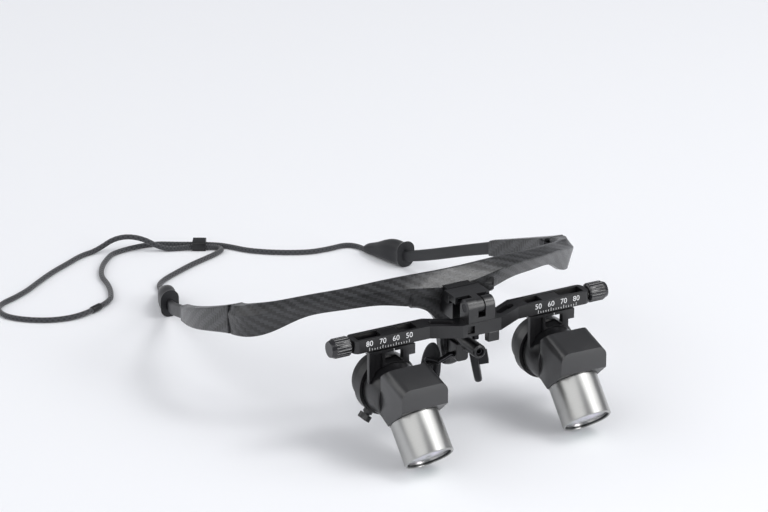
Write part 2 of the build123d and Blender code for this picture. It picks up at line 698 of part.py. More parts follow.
def housing_outline():
    """Side view in Y and Z; the lower front face is square to the barrel."""
    face = Vector(*along_dip(BARREL_START))
    down = dip_direction()
    along_face = Vector(0, -down.Z, down.Y)
    chin = face + along_face * ((HOUSING_CREASE[0] - face.Y) / along_face.Y)
    heel = face + along_face * HOUSING_HEEL_REACH
    return [
        (TUBE_FRONT, HOUSING_SHOULDER_Z), HOUSING_TOP_BACK, HOUSING_CREASE,
        (chin.Y, chin.Z), (heel.Y, heel.Z), (TUBE_FRONT, HOUSING_HEEL_BACK_Z),
    ]


def top_edges(solid, half, inset):
    """The long edges down the top slope of a block that lies inset inside the housing's outline."""
    return [
        edge for edge in solid.edges()
        if abs(abs(edge.center().X) - half) < TOUCH
        and edge.center().Z > HOUSING_CREASE[1] - inset and edge.length > HOUSING_LONG_EDGE
    ]


def inside_housing(inset):
    """The housing's shape, smaller by inset on every side, with its long top edges rounded."""
    outline = make_face(Plane.YZ * Polyline(*housing_outline(), close=True))
    half = HOUSING_WIDTH / 2 - inset
    inside = extrude(offset(outline, amount=-inset), amount=half, both=True)
    return fillet(top_edges(inside, half, inset), HOUSING_INNER_EDGE)


def make_housing():
    """Die-cast cover round the prism, with a socket for the barrel and a face for the tube."""
    half = HOUSING_WIDTH / 2
    housing = side_plate(housing_outline(), -half, half)
    housing = fillet(top_edges(housing, half, 0), HOUSING_EDGE)
    housing += rod(along_dip(0), along_dip(BARREL_START), SOCKET_RADIUS)
    housing -= block(-RING_RADIUS, RING_RADIUS, TUBE_FRONT, RING_BACK, 2 * OCULAR_Z, 0)
    housing -= inside_housing(HOUSING_WALL)
    spigot_start = along_dip(BARREL_START - SPIGOT_LENGTH - FIT)
    housing -= rod(spigot_start, along_dip(BARREL_START + CUT), SPIGOT_RADIUS + FIT)
    housing -= rod(along_ocular(KNEE_Y), along_ocular(TUBE_FRONT + CUT), BORE_RADIUS)
    return housing


def make_prism():
    """Roof prism block, a loose fit between the housing's walls."""
    prism = inside_housing(HOUSING_WALL + PRISM_GAP)
    spigot_start = along_dip(BARREL_START - SPIGOT_LENGTH - PRISM_GAP)
    return prism - rod(spigot_start, along_dip(BARREL_START + CUT), SPIGOT_RADIUS + PRISM_SPIGOT_GAP)


def make_barrel():
    """Objective barrel with a spigot for the housing and a step for the lens."""
    lens_seat = BARREL_END - OBJECTIVE_RECESS - OBJECTIVE_THICK
    start = BARREL_START - SPIGOT_LENGTH
    lip_end = BARREL_START + BARREL_LIP_LENGTH
    return turned(
        [
            (BARREL_BORE - BARREL_LIP, start), (SPIGOT_RADIUS, start), (SPIGOT_RADIUS, BARREL_START),
            (BARREL_RADIUS, BARREL_START), (BARREL_RADIUS, BARREL_END - BARREL_CHAMFER),
            (BARREL_RADIUS - BARREL_CHAMFER, BARREL_END), (OBJECTIVE_RADIUS, BARREL_END),
            (OBJECTIVE_RADIUS, lens_seat), (BARREL_BORE, lens_seat), (BARREL_BORE, lip_end),
            (BARREL_BORE - BARREL_LIP, lip_end),
        ],
        along_dip(0), tuple(dip_direction()),
    )


def make_objective():
    """Objective lens, on the barrel's step."""
    start = BARREL_END - OBJECTIVE_RECESS - OBJECTIVE_THICK + FIT
    return lens(
        OBJECTIVE_RADIUS - FIT, OBJECTIVE_THICK - FIT, OBJECTIVE_BULGE,
        along_dip(start), tuple(dip_direction()),
    )


def make_retainer():
    """Threaded ring that holds the objective from outside."""
    start = BARREL_END - OBJECTIVE_RECESS + FIT - OBJECTIVE_BULGE
    edge = OBJECTIVE_RADIUS - FIT
    end = BARREL_END - RETAINER_RECESS
    return turned(
        [
            (RETAINER_BORE, start + OBJECTIVE_BULGE), (edge, start + OBJECTIVE_BULGE - FIT),
            (edge, end), (RETAINER_BORE + RETAINER_BEVEL, end),
        ],
        along_dip(0), tuple(dip_direction()),
    )


# ------------------------------------------------------------------ flip hinge
def make_clevis():
    """Fork on the rail's bridge, round on top, that carries the flip pin."""
    half = CLEVIS_HALF
    low, high = FLIP_Y - CLEVIS_RADIUS, FLIP_Y + CLEVIS_RADIUS
    clevis = block(-half, half, low, high, RAIL_HEIGHT, FLIP_Z)
    clevis += rod((-half, FLIP_Y, FLIP_Z), (half, FLIP_Y, FLIP_Z), CLEVIS_RADIUS)
    clevis -= block(
        -FORK_WIDTH / 2, FORK_WIDTH / 2, low - CUT, high + CUT,
        FORK_FLOOR, FLIP_Z + CLEVIS_RADIUS + CUT,
    )
    clevis -= rod((-half - CUT, FLIP_Y, FLIP_Z), (half + CUT, FLIP_Y, FLIP_Z), FLIP_PIN_RADIUS + FIT)
    recess_half = FLIP_HEAD_RADIUS + FIT
    for side in (-1, 1):
        recess = Plane(origin=(side * (half - FLIP_HEAD_DEPTH - FIT), FLIP_Y, FLIP_Z), z_dir=(side, 0, 0))
        clevis -= recess * Cylinder(
            recess_half, FLIP_HEAD_DEPTH + CUT, align=(Align.CENTER, Align.CENTER, Align.MIN)
        )
    clevis -= rod((0, FLIP_Y, RAIL_HEIGHT - CUT), (0, FLIP_Y, FORK_FLOOR + CUT), CLEVIS_SCREW_RADIUS + FIT)
    return clevis


def make_flip_pin():
    """Pin through the fork and the tongue, with a head sunk in each ear."""
    neck = CLEVIS_HALF - FLIP_HEAD_DEPTH
    pin = rod((-neck, FLIP_Y, FLIP_Z), (neck, FLIP_Y, FLIP_Z), FLIP_PIN_RADIUS)
    for side in (-1, 1):
        end = side * (CLEVIS_HALF - FLIP_HEAD_SINK)
        pin += rod((side * neck, FLIP_Y, FLIP_Z), (end, FLIP_Y, FLIP_Z), FLIP_HEAD_RADIUS)
    return pin


def make_clevis_screw():
    """Screw from below the rail up into the clevis."""
    start = (0, FLIP_Y, CLEVIS_SCREW_SINK)
    screw = rod(start, (0, FLIP_Y, FORK_FLOOR - CLEVIS_SCREW_END_GAP), CLEVIS_SCREW_RADIUS)
    return screw - Pos(*start) * extrude(RegularPolygon(CLEVIS_HEX, 6), amount=CLEVIS_HEX_DEPTH)


def make_tongue():
    """Tongue between the clevis ears, with the web that carries it back to the mount."""
    half = FORK_WIDTH / 2 - TONGUE_GAP
    tongue = rod((-half, FLIP_Y, FLIP_Z), (half, FLIP_Y, FLIP_Z), TONGUE_RADIUS)
    web = [
        (FLIP_Y, FLIP_Z + TONGUE_RADIUS), (CROSS_FRONT, CROSS_TOP), (MOUNT_FRONT, CROSS_TOP),
        (MOUNT_FRONT, MOUNT_BOTTOM + TONGUE_WEB_RISE),
        (FLIP_Y + TONGUE_WEB_BACK, FLIP_Z - TONGUE_RADIUS), (FLIP_Y, FLIP_Z - TONGUE_RADIUS),
    ]
    tongue += side_plate(web, -half, half)
    tongue += block(-CROSS_HALF, CROSS_HALF, CROSS_FRONT, MOUNT_FRONT, CROSS_BOTTOM, CROSS_TOP)
    tongue -= rod((-half - CUT, FLIP_Y, FLIP_Z), (half + CUT, FLIP_Y, FLIP_Z), FLIP_PIN_RADIUS + RUN)
    for side in (-1, 1):
        x = side * MOUNT_SCREW_X
        z = (CROSS_BOTTOM + CROSS_TOP) / 2
        tongue -= rod((x, CROSS_FRONT - CUT, z), (x, MOUNT_FRONT + CUT, z), MOUNT_SCREW_RADIUS + FIT)
    return tongue


def make_mount_block():
    """Block that seats in the brow's pocket and carries the tongue's cross bar."""
    mount = block(-MOUNT_HALF, MOUNT_HALF, MOUNT_FRONT, MOUNT_BACK, MOUNT_BOTTOM, MOUNT_TOP)
    wing = block(
        -CROSS_HALF, CROSS_HALF, MOUNT_FRONT, MOUNT_FRONT + WING_DEPTH,
        CROSS_BOTTOM - WING_DROP, CROSS_TOP,
    )
    lower = mount.edges().filter_by(Axis.Y).group_by(Axis.Z)[0]
    mount = fillet(lower, MOUNT_ROUND)
    mount += wing
    for side in (-1, 1):
        x = side * MOUNT_SCREW_X
        z = (CROSS_BOTTOM + CROSS_TOP) / 2
        hole_end = (x, MOUNT_FRONT + MOUNT_SCREW_DEPTH + FIT, z)
        mount -= rod((x, MOUNT_FRONT - CUT, z), hole_end, MOUNT_SCREW_RADIUS + FIT)
    return mount


def make_mount_screws():
    """The two cap screws that hold the tongue's cross bar to the mount block."""
    screws = []
    z = (CROSS_BOTTOM + CROSS_TOP) / 2
    for side in (-1, 1):
        x = side * MOUNT_SCREW_X
        screw = rod((x, CROSS_FRONT, z), (x, MOUNT_FRONT + MOUNT_SCREW_DEPTH, z), MOUNT_SCREW_RADIUS)
        head = rod((x, CROSS_FRONT - MOUNT_SCREW_HEAD, z), (x, CROSS_FRONT, z), MOUNT_SCREW_HEAD_RADIUS)
        socket = Plane(origin=(x, CROSS_FRONT - MOUNT_SCREW_HEAD, z), z_dir=(0, 1, 0))
        head -= socket * extrude(RegularPolygon(MOUNT_SCREW_HEX, 6), amount=MOUNT_SCREW_HEX_DEPTH)
        screws.append(screw + head)
    return Compound(children=screws)


def make_bridge_screw():
    """Clamp screw that hangs under the bridge."""
    x, y = BRIDGE_SCREW_X, BRIDGE_SCREW_Y
    screw = rod((x, y, -BRIDGE_SCREW_HEAD), (x, y, 0), BRIDGE_SCREW_RADIUS)
    screw += rod((x, y, 0), (x, y, BRIDGE_SCREW_DEPTH), BRIDGE_SCREW_SHANK)
    return screw


def make_stop_block():
    """Block under the bridge that the flipped rail comes to rest on."""
    stop = block(STOP_X, STOP_X + STOP_WIDTH, -BRIDGE_STEP, -BRIDGE_STEP + STOP_DEPTH, -STOP_DROP, 0)
    return fillet(stop.edges().filter_by(Axis.Z), STOP_ROUND)


# ------------------------------------------------------------------ brow frame
def brow_path(x):
    """Plan position and inward direction of the ridge at one x."""
    turn = math.asin(x / BROW_RADIUS)
    y = BROW_FRONT + BROW_RADIUS * (1 - math.cos(turn))
    return x, y, -math.sin(turn), math.cos(turn)


def corner_path(share):
    """The same, round the tight corner behind the brow."""
    start = math.asin(BROW_ARC_END / BROW_RADIUS)
    turn = start + share * (math.pi / 2 - start)
    x, y, inward_x, inward_y = brow_path(BROW_ARC_END)
    middle_x = x + inward_x * CORNER_RADIUS
    middle_y = y + inward_y * CORNER_RADIUS
    return (
        middle_x + CORNER_RADIUS * math.sin(turn), middle_y - CORNER_RADIUS * math.cos(turn),
        -math.sin(turn), math.cos(turn),
    )


def brow_section(x, y, inward_x, inward_y, top, ridge, low, slope):
    """Eight-sided section: ridge in front, sloping facets above and below."""
    flat = BROW_EDGE_FLAT
    outline = [
        (0, ridge - BROW_RIDGE_FLAT / 2), (0, ridge + BROW_RIDGE_FLAT / 2),
        (BROW_TOP_BACK * slope, top), (BROW_THICK - flat * BROW_EDGE_SHARE, top), (BROW_THICK, top - flat),
        (BROW_THICK, low + flat), (BROW_THICK - flat, low), (BROW_LOW_BACK * slope, low),
    ]
    points = [(x + inward_x * depth, y + inward_y * depth, z) for depth, z in outline]
    return make_face(Polyline(*points, close=True))


def brow_sections(side):
    """All the sections of one half, from the middle to the end face."""
    sections = []
    for x, top, ridge, low in BROW_STATIONS:
        sections.append((brow_path(x), top, ridge, low, 1.0))
    for share, top, ridge, low, slope in CORNER_STATIONS:
        sections.append((corner_path(share), top, ridge, low, slope))
    (x, y, inward_x, inward_y), top, ridge, low, slope = sections[-1]
    end = (x, END_Y, inward_x, inward_y)
    sections.append((end, top - END_DROP, ridge - END_DROP, low - END_DROP, slope))
    faces = []
    for (x, y, inward_x, inward_y), top, ridge, low, slope in sections:
        faces.append(brow_section(side * x, y, side * inward_x, inward_y, top, ridge, low, slope))
    return faces


def make_brow():
    """Carbon brow with its nose bridge, a pocket for the mount and one for each hinge leaf."""
    right = brow_sections(-1)
    left = brow_sections(1)
    brow = loft(list(reversed(right)) + left[1:])
    brow += make_nose_bridge()
    brow -= block(
        -MOUNT_HALF - FIT, MOUNT_HALF + FIT, MOUNT_FRONT, MOUNT_BACK + FIT,
        MOUNT_BOTTOM - FIT, MOUNT_TOP + FIT,
    )
    low, high = hinge_levels()[0], hinge_levels()[-1]
    pocket = block(
        FRAME_INNER - LEAF_LENGTH, FRAME_INNER + FIT, END_Y - LEAF_LENGTH - FIT, END_Y + CUT,
        low - FIT, high + FIT,
    )
    return brow - pocket - mirror(pocket, Plane.YZ)


def make_nose_bridge():
    """The arch under the brow's middle, drawn down into a tapered post."""
    shoulder = (NOSE_SHOULDER_X, NOSE_SHOULDER_Z)
    waist = (NOSE_WAIST_X, NOSE_WAIST_Z)
    foot = (NOSE_FOOT_X, NOSE_FOOT_Z)
    lift = NOSE_SHOULDER_Z + NOSE_LIFT
    bend = (
        (NOSE_SHOULDER_X + NOSE_WAIST_X) / 2 - NOSE_BEND_IN,
        (NOSE_SHOULDER_Z + NOSE_WAIST_Z) / 2 + NOSE_BEND_UP,
    )
    outline = (
        Line((0, lift), (NOSE_SHOULDER_X, lift))
        + Line((NOSE_SHOULDER_X, lift), shoulder)
        + ThreePointArc(shoulder, bend, waist)
        + Line(waist, foot)
        + ThreePointArc(foot, (0, NOSE_FOOT_Z - NOSE_FOOT_ROUND), (-foot[0], foot[1]))
        + Line((-foot[0], foot[1]), (-waist[0], waist[1]))
        + ThreePointArc((-waist[0], waist[1]), (-bend[0], bend[1]), (-shoulder[0], shoulder[1]))
        + Line((-shoulder[0], shoulder[1]), (-NOSE_SHOULDER_X, lift))
        + Line((-NOSE_SHOULDER_X, lift), (0, lift))
    )
    face = make_face(Plane.XZ * outline)
    arch = Pos(0, NOSE_FRONT, 0) * extrude(face, amount=NOSE_BACK - NOSE_FRONT, dir=(0, 1, 0))
    front_edges = [edge for edge in arch.edges().group_by(Axis.Y)[0] if edge.center().Z < NOSE_SHOULDER_Z]
    arch = chamfer(front_edges, NOSE_CHAMFER)
    hole_end = (0, NOSE_FRONT + STUD_STEM_LENGTH + FIT, STUD_Z)
    return arch - rod((0, NOSE_FRONT - CUT, STUD_Z), hole_end, STUD_STEM_RADIUS + FIT)


# ------------------------------------------------------------------ light mount and nose pads
def make_light_mount():
    """Collar and stem that seat in the nose bridge, bored for the lock screw."""
    bore_end = STUD_FRONT + STUD_BORE_DEPTH
    stem_end = NOSE_FRONT + STUD_STEM_LENGTH
    return turned(
        [
            (0, bore_end), (STUD_BORE_RADIUS, bore_end),
            (STUD_BORE_RADIUS, STUD_FRONT), (STUD_RADIUS - STUD_CHAMFER, STUD_FRONT),
            (STUD_RADIUS, STUD_FRONT + STUD_CHAMFER), (STUD_RADIUS, STUD_STEP),
            (STUD_STEM_RADIUS, STUD_STEP + STUD_SLOPE), (STUD_STEM_RADIUS, stem_end), (0, stem_end),
        ],
        (0, 0, STUD_Z), (0, 1, 0),
    )


def make_lock_screw():
    """Grub screw with a hexagon socket, recessed in the collar."""
    start = STUD_FRONT + LOCK_SCREW_RECESS
    screw = rod((0, start, STUD_Z), (0, start + LOCK_SCREW_LENGTH, STUD_Z), STUD_BORE_RADIUS - RUN)
    hexagon = RegularPolygon(LOCK_HEX / 2, 6, major_radius=False)
    socket = Plane(origin=(0, start, STUD_Z), z_dir=(0, 1, 0)) * hexagon
    return screw - extrude(socket, amount=LOCK_HEX_DEPTH)


def make_pad_bracket():
    """Block on the nose bridge that holds both pad arms and lets the light mount through."""
    bracket = block(-BRACKET_HALF, BRACKET_HALF, BRACKET_FRONT, NOSE_FRONT, BRACKET_BOTTOM, BRACKET_TOP)
    bracket = fillet(bracket.edges().filter_by(Axis.Y).group_by(Axis.Z)[0], BRACKET_ROUND)
    bracket -= rod((0, BRACKET_FRONT - CUT, STUD_Z), (0, NOSE_FRONT + CUT, STUD_Z), STUD_STEM_RADIUS + FIT)
    y, z = pad_arm_root()
    reach = BRACKET_HALF + CUT
    return bracket - rod((-reach, y, z), (reach, y, z), PAD_ARM_RADIUS + FIT)


def pad_arm_root():
    return BRACKET_FRONT + PAD_ARM_BACK, (BRACKET_TOP + BRACKET_BOTTOM) / 2 - PAD_ARM_DROP


def pad_plane():
    """Plane of the left pad: its long axis is local y, its outer side is local +z."""
    turn = math.radians(PAD_TURN)
    splay = math.radians(PAD_SPLAY)
    long_axis = Vector(-math.sin(splay), 0, math.cos(splay))
    across = Vector(math.sin(turn), math.cos(turn), 0)
    return Plane(origin=(PAD_X, PAD_Y, PAD_Z), x_dir=tuple(across), z_dir=tuple(across.cross(long_axis)))


def make_pad():
    """Soft pad with a raised boss on its front, drilled for the arm's pin."""
    outline = Ellipse(PAD_WIDTH / 2, PAD_HEIGHT / 2)
    pad = extrude(outline, amount=PAD_THICK / 2, both=True)
    pad = fillet(pad.edges(), PAD_EDGE)
    boss_depth = PAD_THICK / 2 + PAD_BOSS
    pad += Pos(0, 0, boss_depth / 2) * Box(PAD_BOSS, PAD_BOSS_LENGTH, boss_depth)
    pin_depth = pad_pin_depth()
    pad -= Pos(0, 0, pin_depth) * Rot(90, 0, 0) * Cylinder(PAD_PIN_RADIUS + RUN, PAD_BOSS_LENGTH + 2 * CUT)
    return pad_plane() * pad


def pad_pin_depth():
    return PAD_THICK / 2 + PAD_BOSS / 2


def make_pad_arm():
    """Wire arm from the bracket to the pin in the pad's boss."""
    plane = pad_plane()
    depth = pad_pin_depth()
    rise = PAD_BOSS_LENGTH / 2 + PAD_ARM_RISE
    top = plane.from_local_coords((0, rise, depth))
    front = plane.from_local_coords((-PAD_WIDTH / 2 - PAD_ARM_CLEAR, rise, depth))
    pin_end = plane.from_local_coords((0, -PAD_BOSS_LENGTH / 2, depth))
    root_y, root_z = pad_arm_root()
    elbow = Vector(BRACKET_HALF + PAD_ARM_REACH, root_y, root_z)
    arm = rod((RUN, root_y, root_z), tuple(elbow), PAD_ARM_RADIUS)
    arm += Pos(*tuple(elbow)) * Sphere(PAD_ARM_RADIUS)
    arm += rod(tuple(elbow), tuple(front), PAD_ARM_RADIUS)
    arm += Pos(*tuple(front)) * Sphere(PAD_ARM_RADIUS)
    arm += rod(tuple(front), tuple(top), PAD_ARM_RADIUS)
    arm += Pos(*tuple(top)) * Sphere(PAD_ARM_RADIUS)
    arm += rod(tuple(top), tuple(pin_end), PAD_PIN_RADIUS)
    return arm


# ------------------------------------------------------------------ temples
def hinge_levels():
    """Heights of the three knuckles: lower frame, temple, upper frame."""
    half = KNUCKLE / 2
    return HINGE_Z - half * 3, HINGE_Z - half, HINGE_Z + half, HINGE_Z + half * 3


def knuckle(z_low, z_high):
    return rod((HINGE_X, HINGE_Y, z_low), (HINGE_X, HINGE_Y, z_high), HINGE_RADIUS)


def make_frame_leaf():
    """Hinge leaf sunk in the frame, with the two outer knuckles."""
    low, mid_low, mid_high, high = hinge_levels()
    leaf = block(FRAME_INNER - LEAF_THICK, FRAME_INNER, END_Y - LEAF_LENGTH, HINGE_Y, low, high)
    leaf += knuckle(low, high)
    gap = KNUCKLE_GAP
    clear = HINGE_RADIUS + KNUCKLE_CLEAR
    leaf -= block(
        HINGE_X - clear, HINGE_X + clear, HINGE_Y - clear, HINGE_Y + clear,
        mid_low - gap, mid_high + gap,
    )
    leaf -= rod((HINGE_X, HINGE_Y, low - CUT), (HINGE_X, HINGE_Y, high + CUT), HINGE_SCREW_RADIUS + FIT)
    return leaf


def make_temple_leaf():
    """Hinge leaf on the temple's inner side, with the middle knuckle."""
    low, mid_low, mid_high, high = hinge_levels()
    leaf = block(TEMPLE_INNER - LEAF_THICK, TEMPLE_INNER, HINGE_Y, HINGE_Y + LEAF_LENGTH, mid_low, mid_high)
    leaf += knuckle(mid_low, mid_high)
    leaf -= rod((HINGE_X, HINGE_Y, low - CUT), (HINGE_X, HINGE_Y, high + CUT), HINGE_SCREW_RADIUS + RUN)
    return leaf


def make_hinge_screw():
    """Slotted screw through the three knuckles."""
    low, high = hinge_levels()[0], hinge_levels()[-1]
    screw = rod((HINGE_X, HINGE_Y, low), (HINGE_X, HINGE_Y, high), HINGE_SCREW_RADIUS)
    head = rod((HINGE_X, HINGE_Y, high), (HINGE_X, HINGE_Y, high + HINGE_HEAD), HINGE_HEAD_RADIUS)
    head -= block(
        HINGE_X - 2 * HINGE_HEAD_RADIUS, HINGE_X + 2 * HINGE_HEAD_RADIUS,
        HINGE_Y - HINGE_SLOT_HALF, HINGE_Y + HINGE_SLOT_HALF,
        high + HINGE_HEAD / 2, high + HINGE_HEAD + CUT,
    )
    return screw + head


def temple_loft(stations):
    sections = []
    for y, outer, top, bottom, thick in stations:
        middle_x = outer - thick / 2
        middle_z = (top + bottom) / 2
        sections.append(rounded_section(y, middle_x, middle_z, thick, top - bottom, TEMPLE_EDGE))
    return loft(sections)


def make_sleeve(arm):
    """Silicone sleeve round the temple's tip, cut square where the cord comes out."""
    sections = []
    for y, middle_x, middle_z, width, height in SLEEVE_STATIONS:
        corner = SLEEVE_CORNER * min(width, height)
        sections.append(rounded_section(y, middle_x, middle_z, width, height, corner))
    sleeve = loft(sections)
    tip_y, tip_x, tip_z, width, height = SLEEVE_STATIONS[-1]
    cutter = Plane(origin=(tip_x, tip_y - TIP_FACE_DEPTH, tip_z), z_dir=tip_normal()) * Box(
        width * 3, height * 3, 4, align=(Align.CENTER, Align.CENTER, Align.MIN)
    )
    return sleeve - cutter - arm


def tip_normal():
    turn = math.radians(TIP_FACE_ANGLE)
    return (-math.sin(turn), math.cos(turn), 0)


# ------------------------------------------------------------------ cord
def tip_point(side):
    """Where the cord starts, just outside the sleeve's end face."""
    tip_y, tip_x = SLEEVE_STATIONS[-1][:2]
    return (side * tip_x, tip_y - TIP_FACE_DEPTH + TIP_GAP, CORD_Z)


def bead_end(across, along):
    """End of one of the bead's two channels: across and along are -1 or 1."""
    turn = math.radians(BEAD_HEADING)
    ahead = (math.cos(turn), math.sin(turn))
    side = (-ahead[1], ahead[0])
    shift = -across * BEAD_PITCH / 2
    reach = along * BEAD_LENGTH / 2
    return (
        BEAD[0] + side[0] * shift + ahead[0] * reach,
        BEAD[1] + side[1] * shift + ahead[1] * reach,
        TABLE_Z + BEAD_CHANNEL_Z,
    )


def on_table(*points):
    return [(x, y, CORD_Z) for x, y in points]


def crimp_lead_in(near, far):
    """The last run, in line with the crimp, and the crimp's end face."""
    z = TABLE_Z + CRIMP_RADIUS
    end = Vector(*near, z)
    along = (end - Vector(*far, z)).normalized()
    return [tuple(end + along * CRIMP_LEAD), tuple(end)]


def cord_route_left():
    """From the left sleeve through the far channel, round to the crimp."""
    return (
        [tip_point(1)]
        + on_table((42.0, 162.6), (36.8, 166.6), (29.2, 166.9), (20.6, 168.6), (12.2, 172.2), (5.0, 176.4))
        + on_table((1.0, 180.9), (-0.4, 185.4), (-3.4, 188.0))
        + [bead_end(1, -1), bead_end(1, 1)]
        + on_table((-18.6, 196.6), (-24.4, 200.3), (-31.2, 201.6), (-42.6, 200.2), (-47.6, 195.8))
        + on_table((-52.6, 189.4), (-56.6, 181.2), (-57.4, 173.2), (-59.6, 165.4))
        + crimp_lead_in(CRIMP_START, CRIMP_END)
    )


def cord_route_right():
    """From the right sleeve, folded back through the near channel, round the loop to the crimp."""
    return (
        [tip_point(-1)]
        + on_table((-42.0, 162.4), (-37.4, 167.0), (-29.8, 171.2), (-21.4, 175.6), (-13.6, 178.6))
        + on_table((-7.6, 181.2), (-5.0, 183.3), (-5.6, 185.9))
        + [bead_end(-1, -1), bead_end(-1, 1)]
        + on_table((-18.8, 192.0), (-24.8, 194.4))
        + [(-32.4, 198.6, CROSSING_Z), (-40.2, 202.9, CROSSING_Z)]
        + on_table((-47.9, 205.0), (-55.0, 203.4), (-62.6, 198.6), (-71.4, 193.4), (-79.4, 187.4))
        + on_table((-86.2, 181.9), (-93.2, 177.8), (-99.2, 175.2), (-102.6, 171.4), (-103.2, 166.4))
        + on_table((-101.4, 161.4), (-95.8, 155.8), (-88.0, 151.6))
        + crimp_lead_in(CRIMP_END, CRIMP_START)
    )


def bend_radii(route):
    """Each bend is as large as its two runs allow."""
    radii = []
    points = [Vector(*point) for point in route]
    for before, point, after in zip(points, points[1:], points[2:]):
        turn = (point - before).get_angle(after - point)
        run = min((point - before).length, (after - point).length)
        radii.append(CORD_BEND * run / math.tan(math.radians(turn / 2)))
    return radii


def make_cord(name, route):
    """A round cord along the route, with every corner rounded as far as its runs allow."""
    radii = bend_radii(route)
    path = FilletPolyline(*route, radius=radii)
    start = Plane(origin=route[0], z_dir=Vector(*route[1]) - Vector(*route[0]))
    cord = sweep(start * Circle(CORD_RADIUS), path=path)
    section = math.pi * CORD_RADIUS ** 2
    print(name, "length", round(path.length, 1), "volume over section times length",
          round(cord.volume / (section * path.length), 4))
    print("  bend radii", [round(radius, 1) for radius in radii])
    return cord


def make_bead():
    """Slide bead with a channel for each strand."""
    bead = Box(BEAD_LENGTH, BEAD_WIDTH, BEAD_HEIGHT)
    bead = fillet(bead.edges().filter_by(Axis.X), BEAD_EDGE)
    for side in (-1, 1):
        channel = Pos(0, side * BEAD_PITCH / 2, BEAD_CHANNEL_Z - BEAD_HEIGHT / 2) * Rot(0, 90, 0)
        bead -= channel * Cylinder(CORD_RADIUS + BEAD_CHANNEL_GAP, BEAD_LENGTH + 2 * CUT)
    return Pos(BEAD[0], BEAD[1], TABLE_Z + BEAD_HEIGHT / 2) * Rot(0, 0, BEAD_HEADING) * bead


def make_crimp():
    """Sleeve that both ends of the cord run into."""
    z = TABLE_Z + CRIMP_RADIUS
    return rod((*CRIMP_START, z), (*CRIMP_END, z), CRIMP_RADIUS)


# ------------------------------------------------------------------ assembly
def make_telescope(side, name):
    """Every piece that hangs from one carriage."""
    pieces = {
        "ocular_tube": make_tube(),
        "eyepiece_cap": make_cap(),
        "eye_lens": make_eye_lens(),
        "prism_housing": make_housing(),
        "roof_prism": make_prism(),
        "objective_barrel": make_barrel(),
        "objective_lens": make_objective(),
        "lens_retainer": make_retainer(),
        "thumb_screw": make_thumb_screw(side),
    }
    for piece, solid in pieces.items():
        PARTS[piece + name] = Pos(side * PUPIL_HALF, 0, 0) * toe(solid, side)
    for piece, solid in {
        "hanger": make_hanger(side), "carriage": make_carriage(), "hanger_screw": make_hanger_screw(),
    }.items():
        PARTS[piece + name] = Pos(side * PUPIL_HALF, 0, 0) * solid


def make_all():
    PARTS["rail"] = make_rail()
    PARTS["flip_clevis"] = make_clevis()
    PARTS["flip_pin"] = make_flip_pin()
    PARTS["clevis_screw"] = make_clevis_screw()
    PARTS["flip_tongue"] = make_tongue()
    PARTS["mount_block"] = make_mount_block()
    PARTS["mount_screws"] = make_mount_screws()
    PARTS["bridge_screw"] = make_bridge_screw()
    PARTS["stop_block"] = make_stop_block()
    both_sides("knob", make_knob())
    both_sides("lead_screw", make_lead_screw())
    make_telescope(1, "_left")
    make_telescope(-1, "_right")
    PARTS["brow_frame"] = make_brow()
    PARTS["light_mount"] = make_light_mount()
    PARTS["lock_screw"] = make_lock_screw()
    PARTS["pad_bracket"] = make_pad_bracket()
    both_sides("nose_pad", make_pad())
    both_sides("pad_arm", make_pad_arm())
    both_sides("frame_leaf", make_frame_leaf())
    both_sides("temple_leaf", make_temple_leaf())
    screw = make_hinge_screw()
    PARTS["hinge_screws"] = Compound(children=[screw, mirror(screw, Plane.YZ)])
    both_sides("temple_front", temple_loft(TEMPLE_FRONT_STATIONS))
    arm = temple_loft(TEMPLE_ARM_STATIONS)
    both_sides("temple_arm", arm)
    both_sides("temple_sleeve", make_sleeve(arm))
    PARTS["cord_left"] = make_cord("cord_left", cord_route_left())
    PARTS["cord_right"] = make_cord("cord_right", cord_route_right())
    PARTS["cord_bead"] = make_bead()
    PARTS["cord_crimp"] = make_crimp()


CORD_NODES = ("cord_left", "cord_right", "cord_bead", "cord_crimp")


def stand_up():
    """Move the object so that it stands on z = 0, centred without its cord."""
    body = [solid for name, solid in PARTS.items() if name not in CORD_NODES]
    low = Vector(*(min(getattr(solid.bounding_box().min, axis) for solid in body) for axis in "XYZ"))
    high = Vector(*(max(getattr(solid.bounding_box().max, axis) for solid in body) for axis in "XYZ"))
    shift = (-(low.X + high.X) / 2, -(low.Y + high.Y) / 2, -low.Z)
    for name in PARTS:
        PARTS[name] = Pos(*shift) * PARTS[name]
    return shift


make_all()
SHIFT = stand_up()
print("shift", [round(value, 4) for value in SHIFT])
os.makedirs("parts", exist_ok=True)
for name, solid in PARTS.items():
    export_step(solid, "parts/" + name + ".step")
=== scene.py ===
import json
import math

import bmesh
import bpy
from mathutils import Matrix, Vector

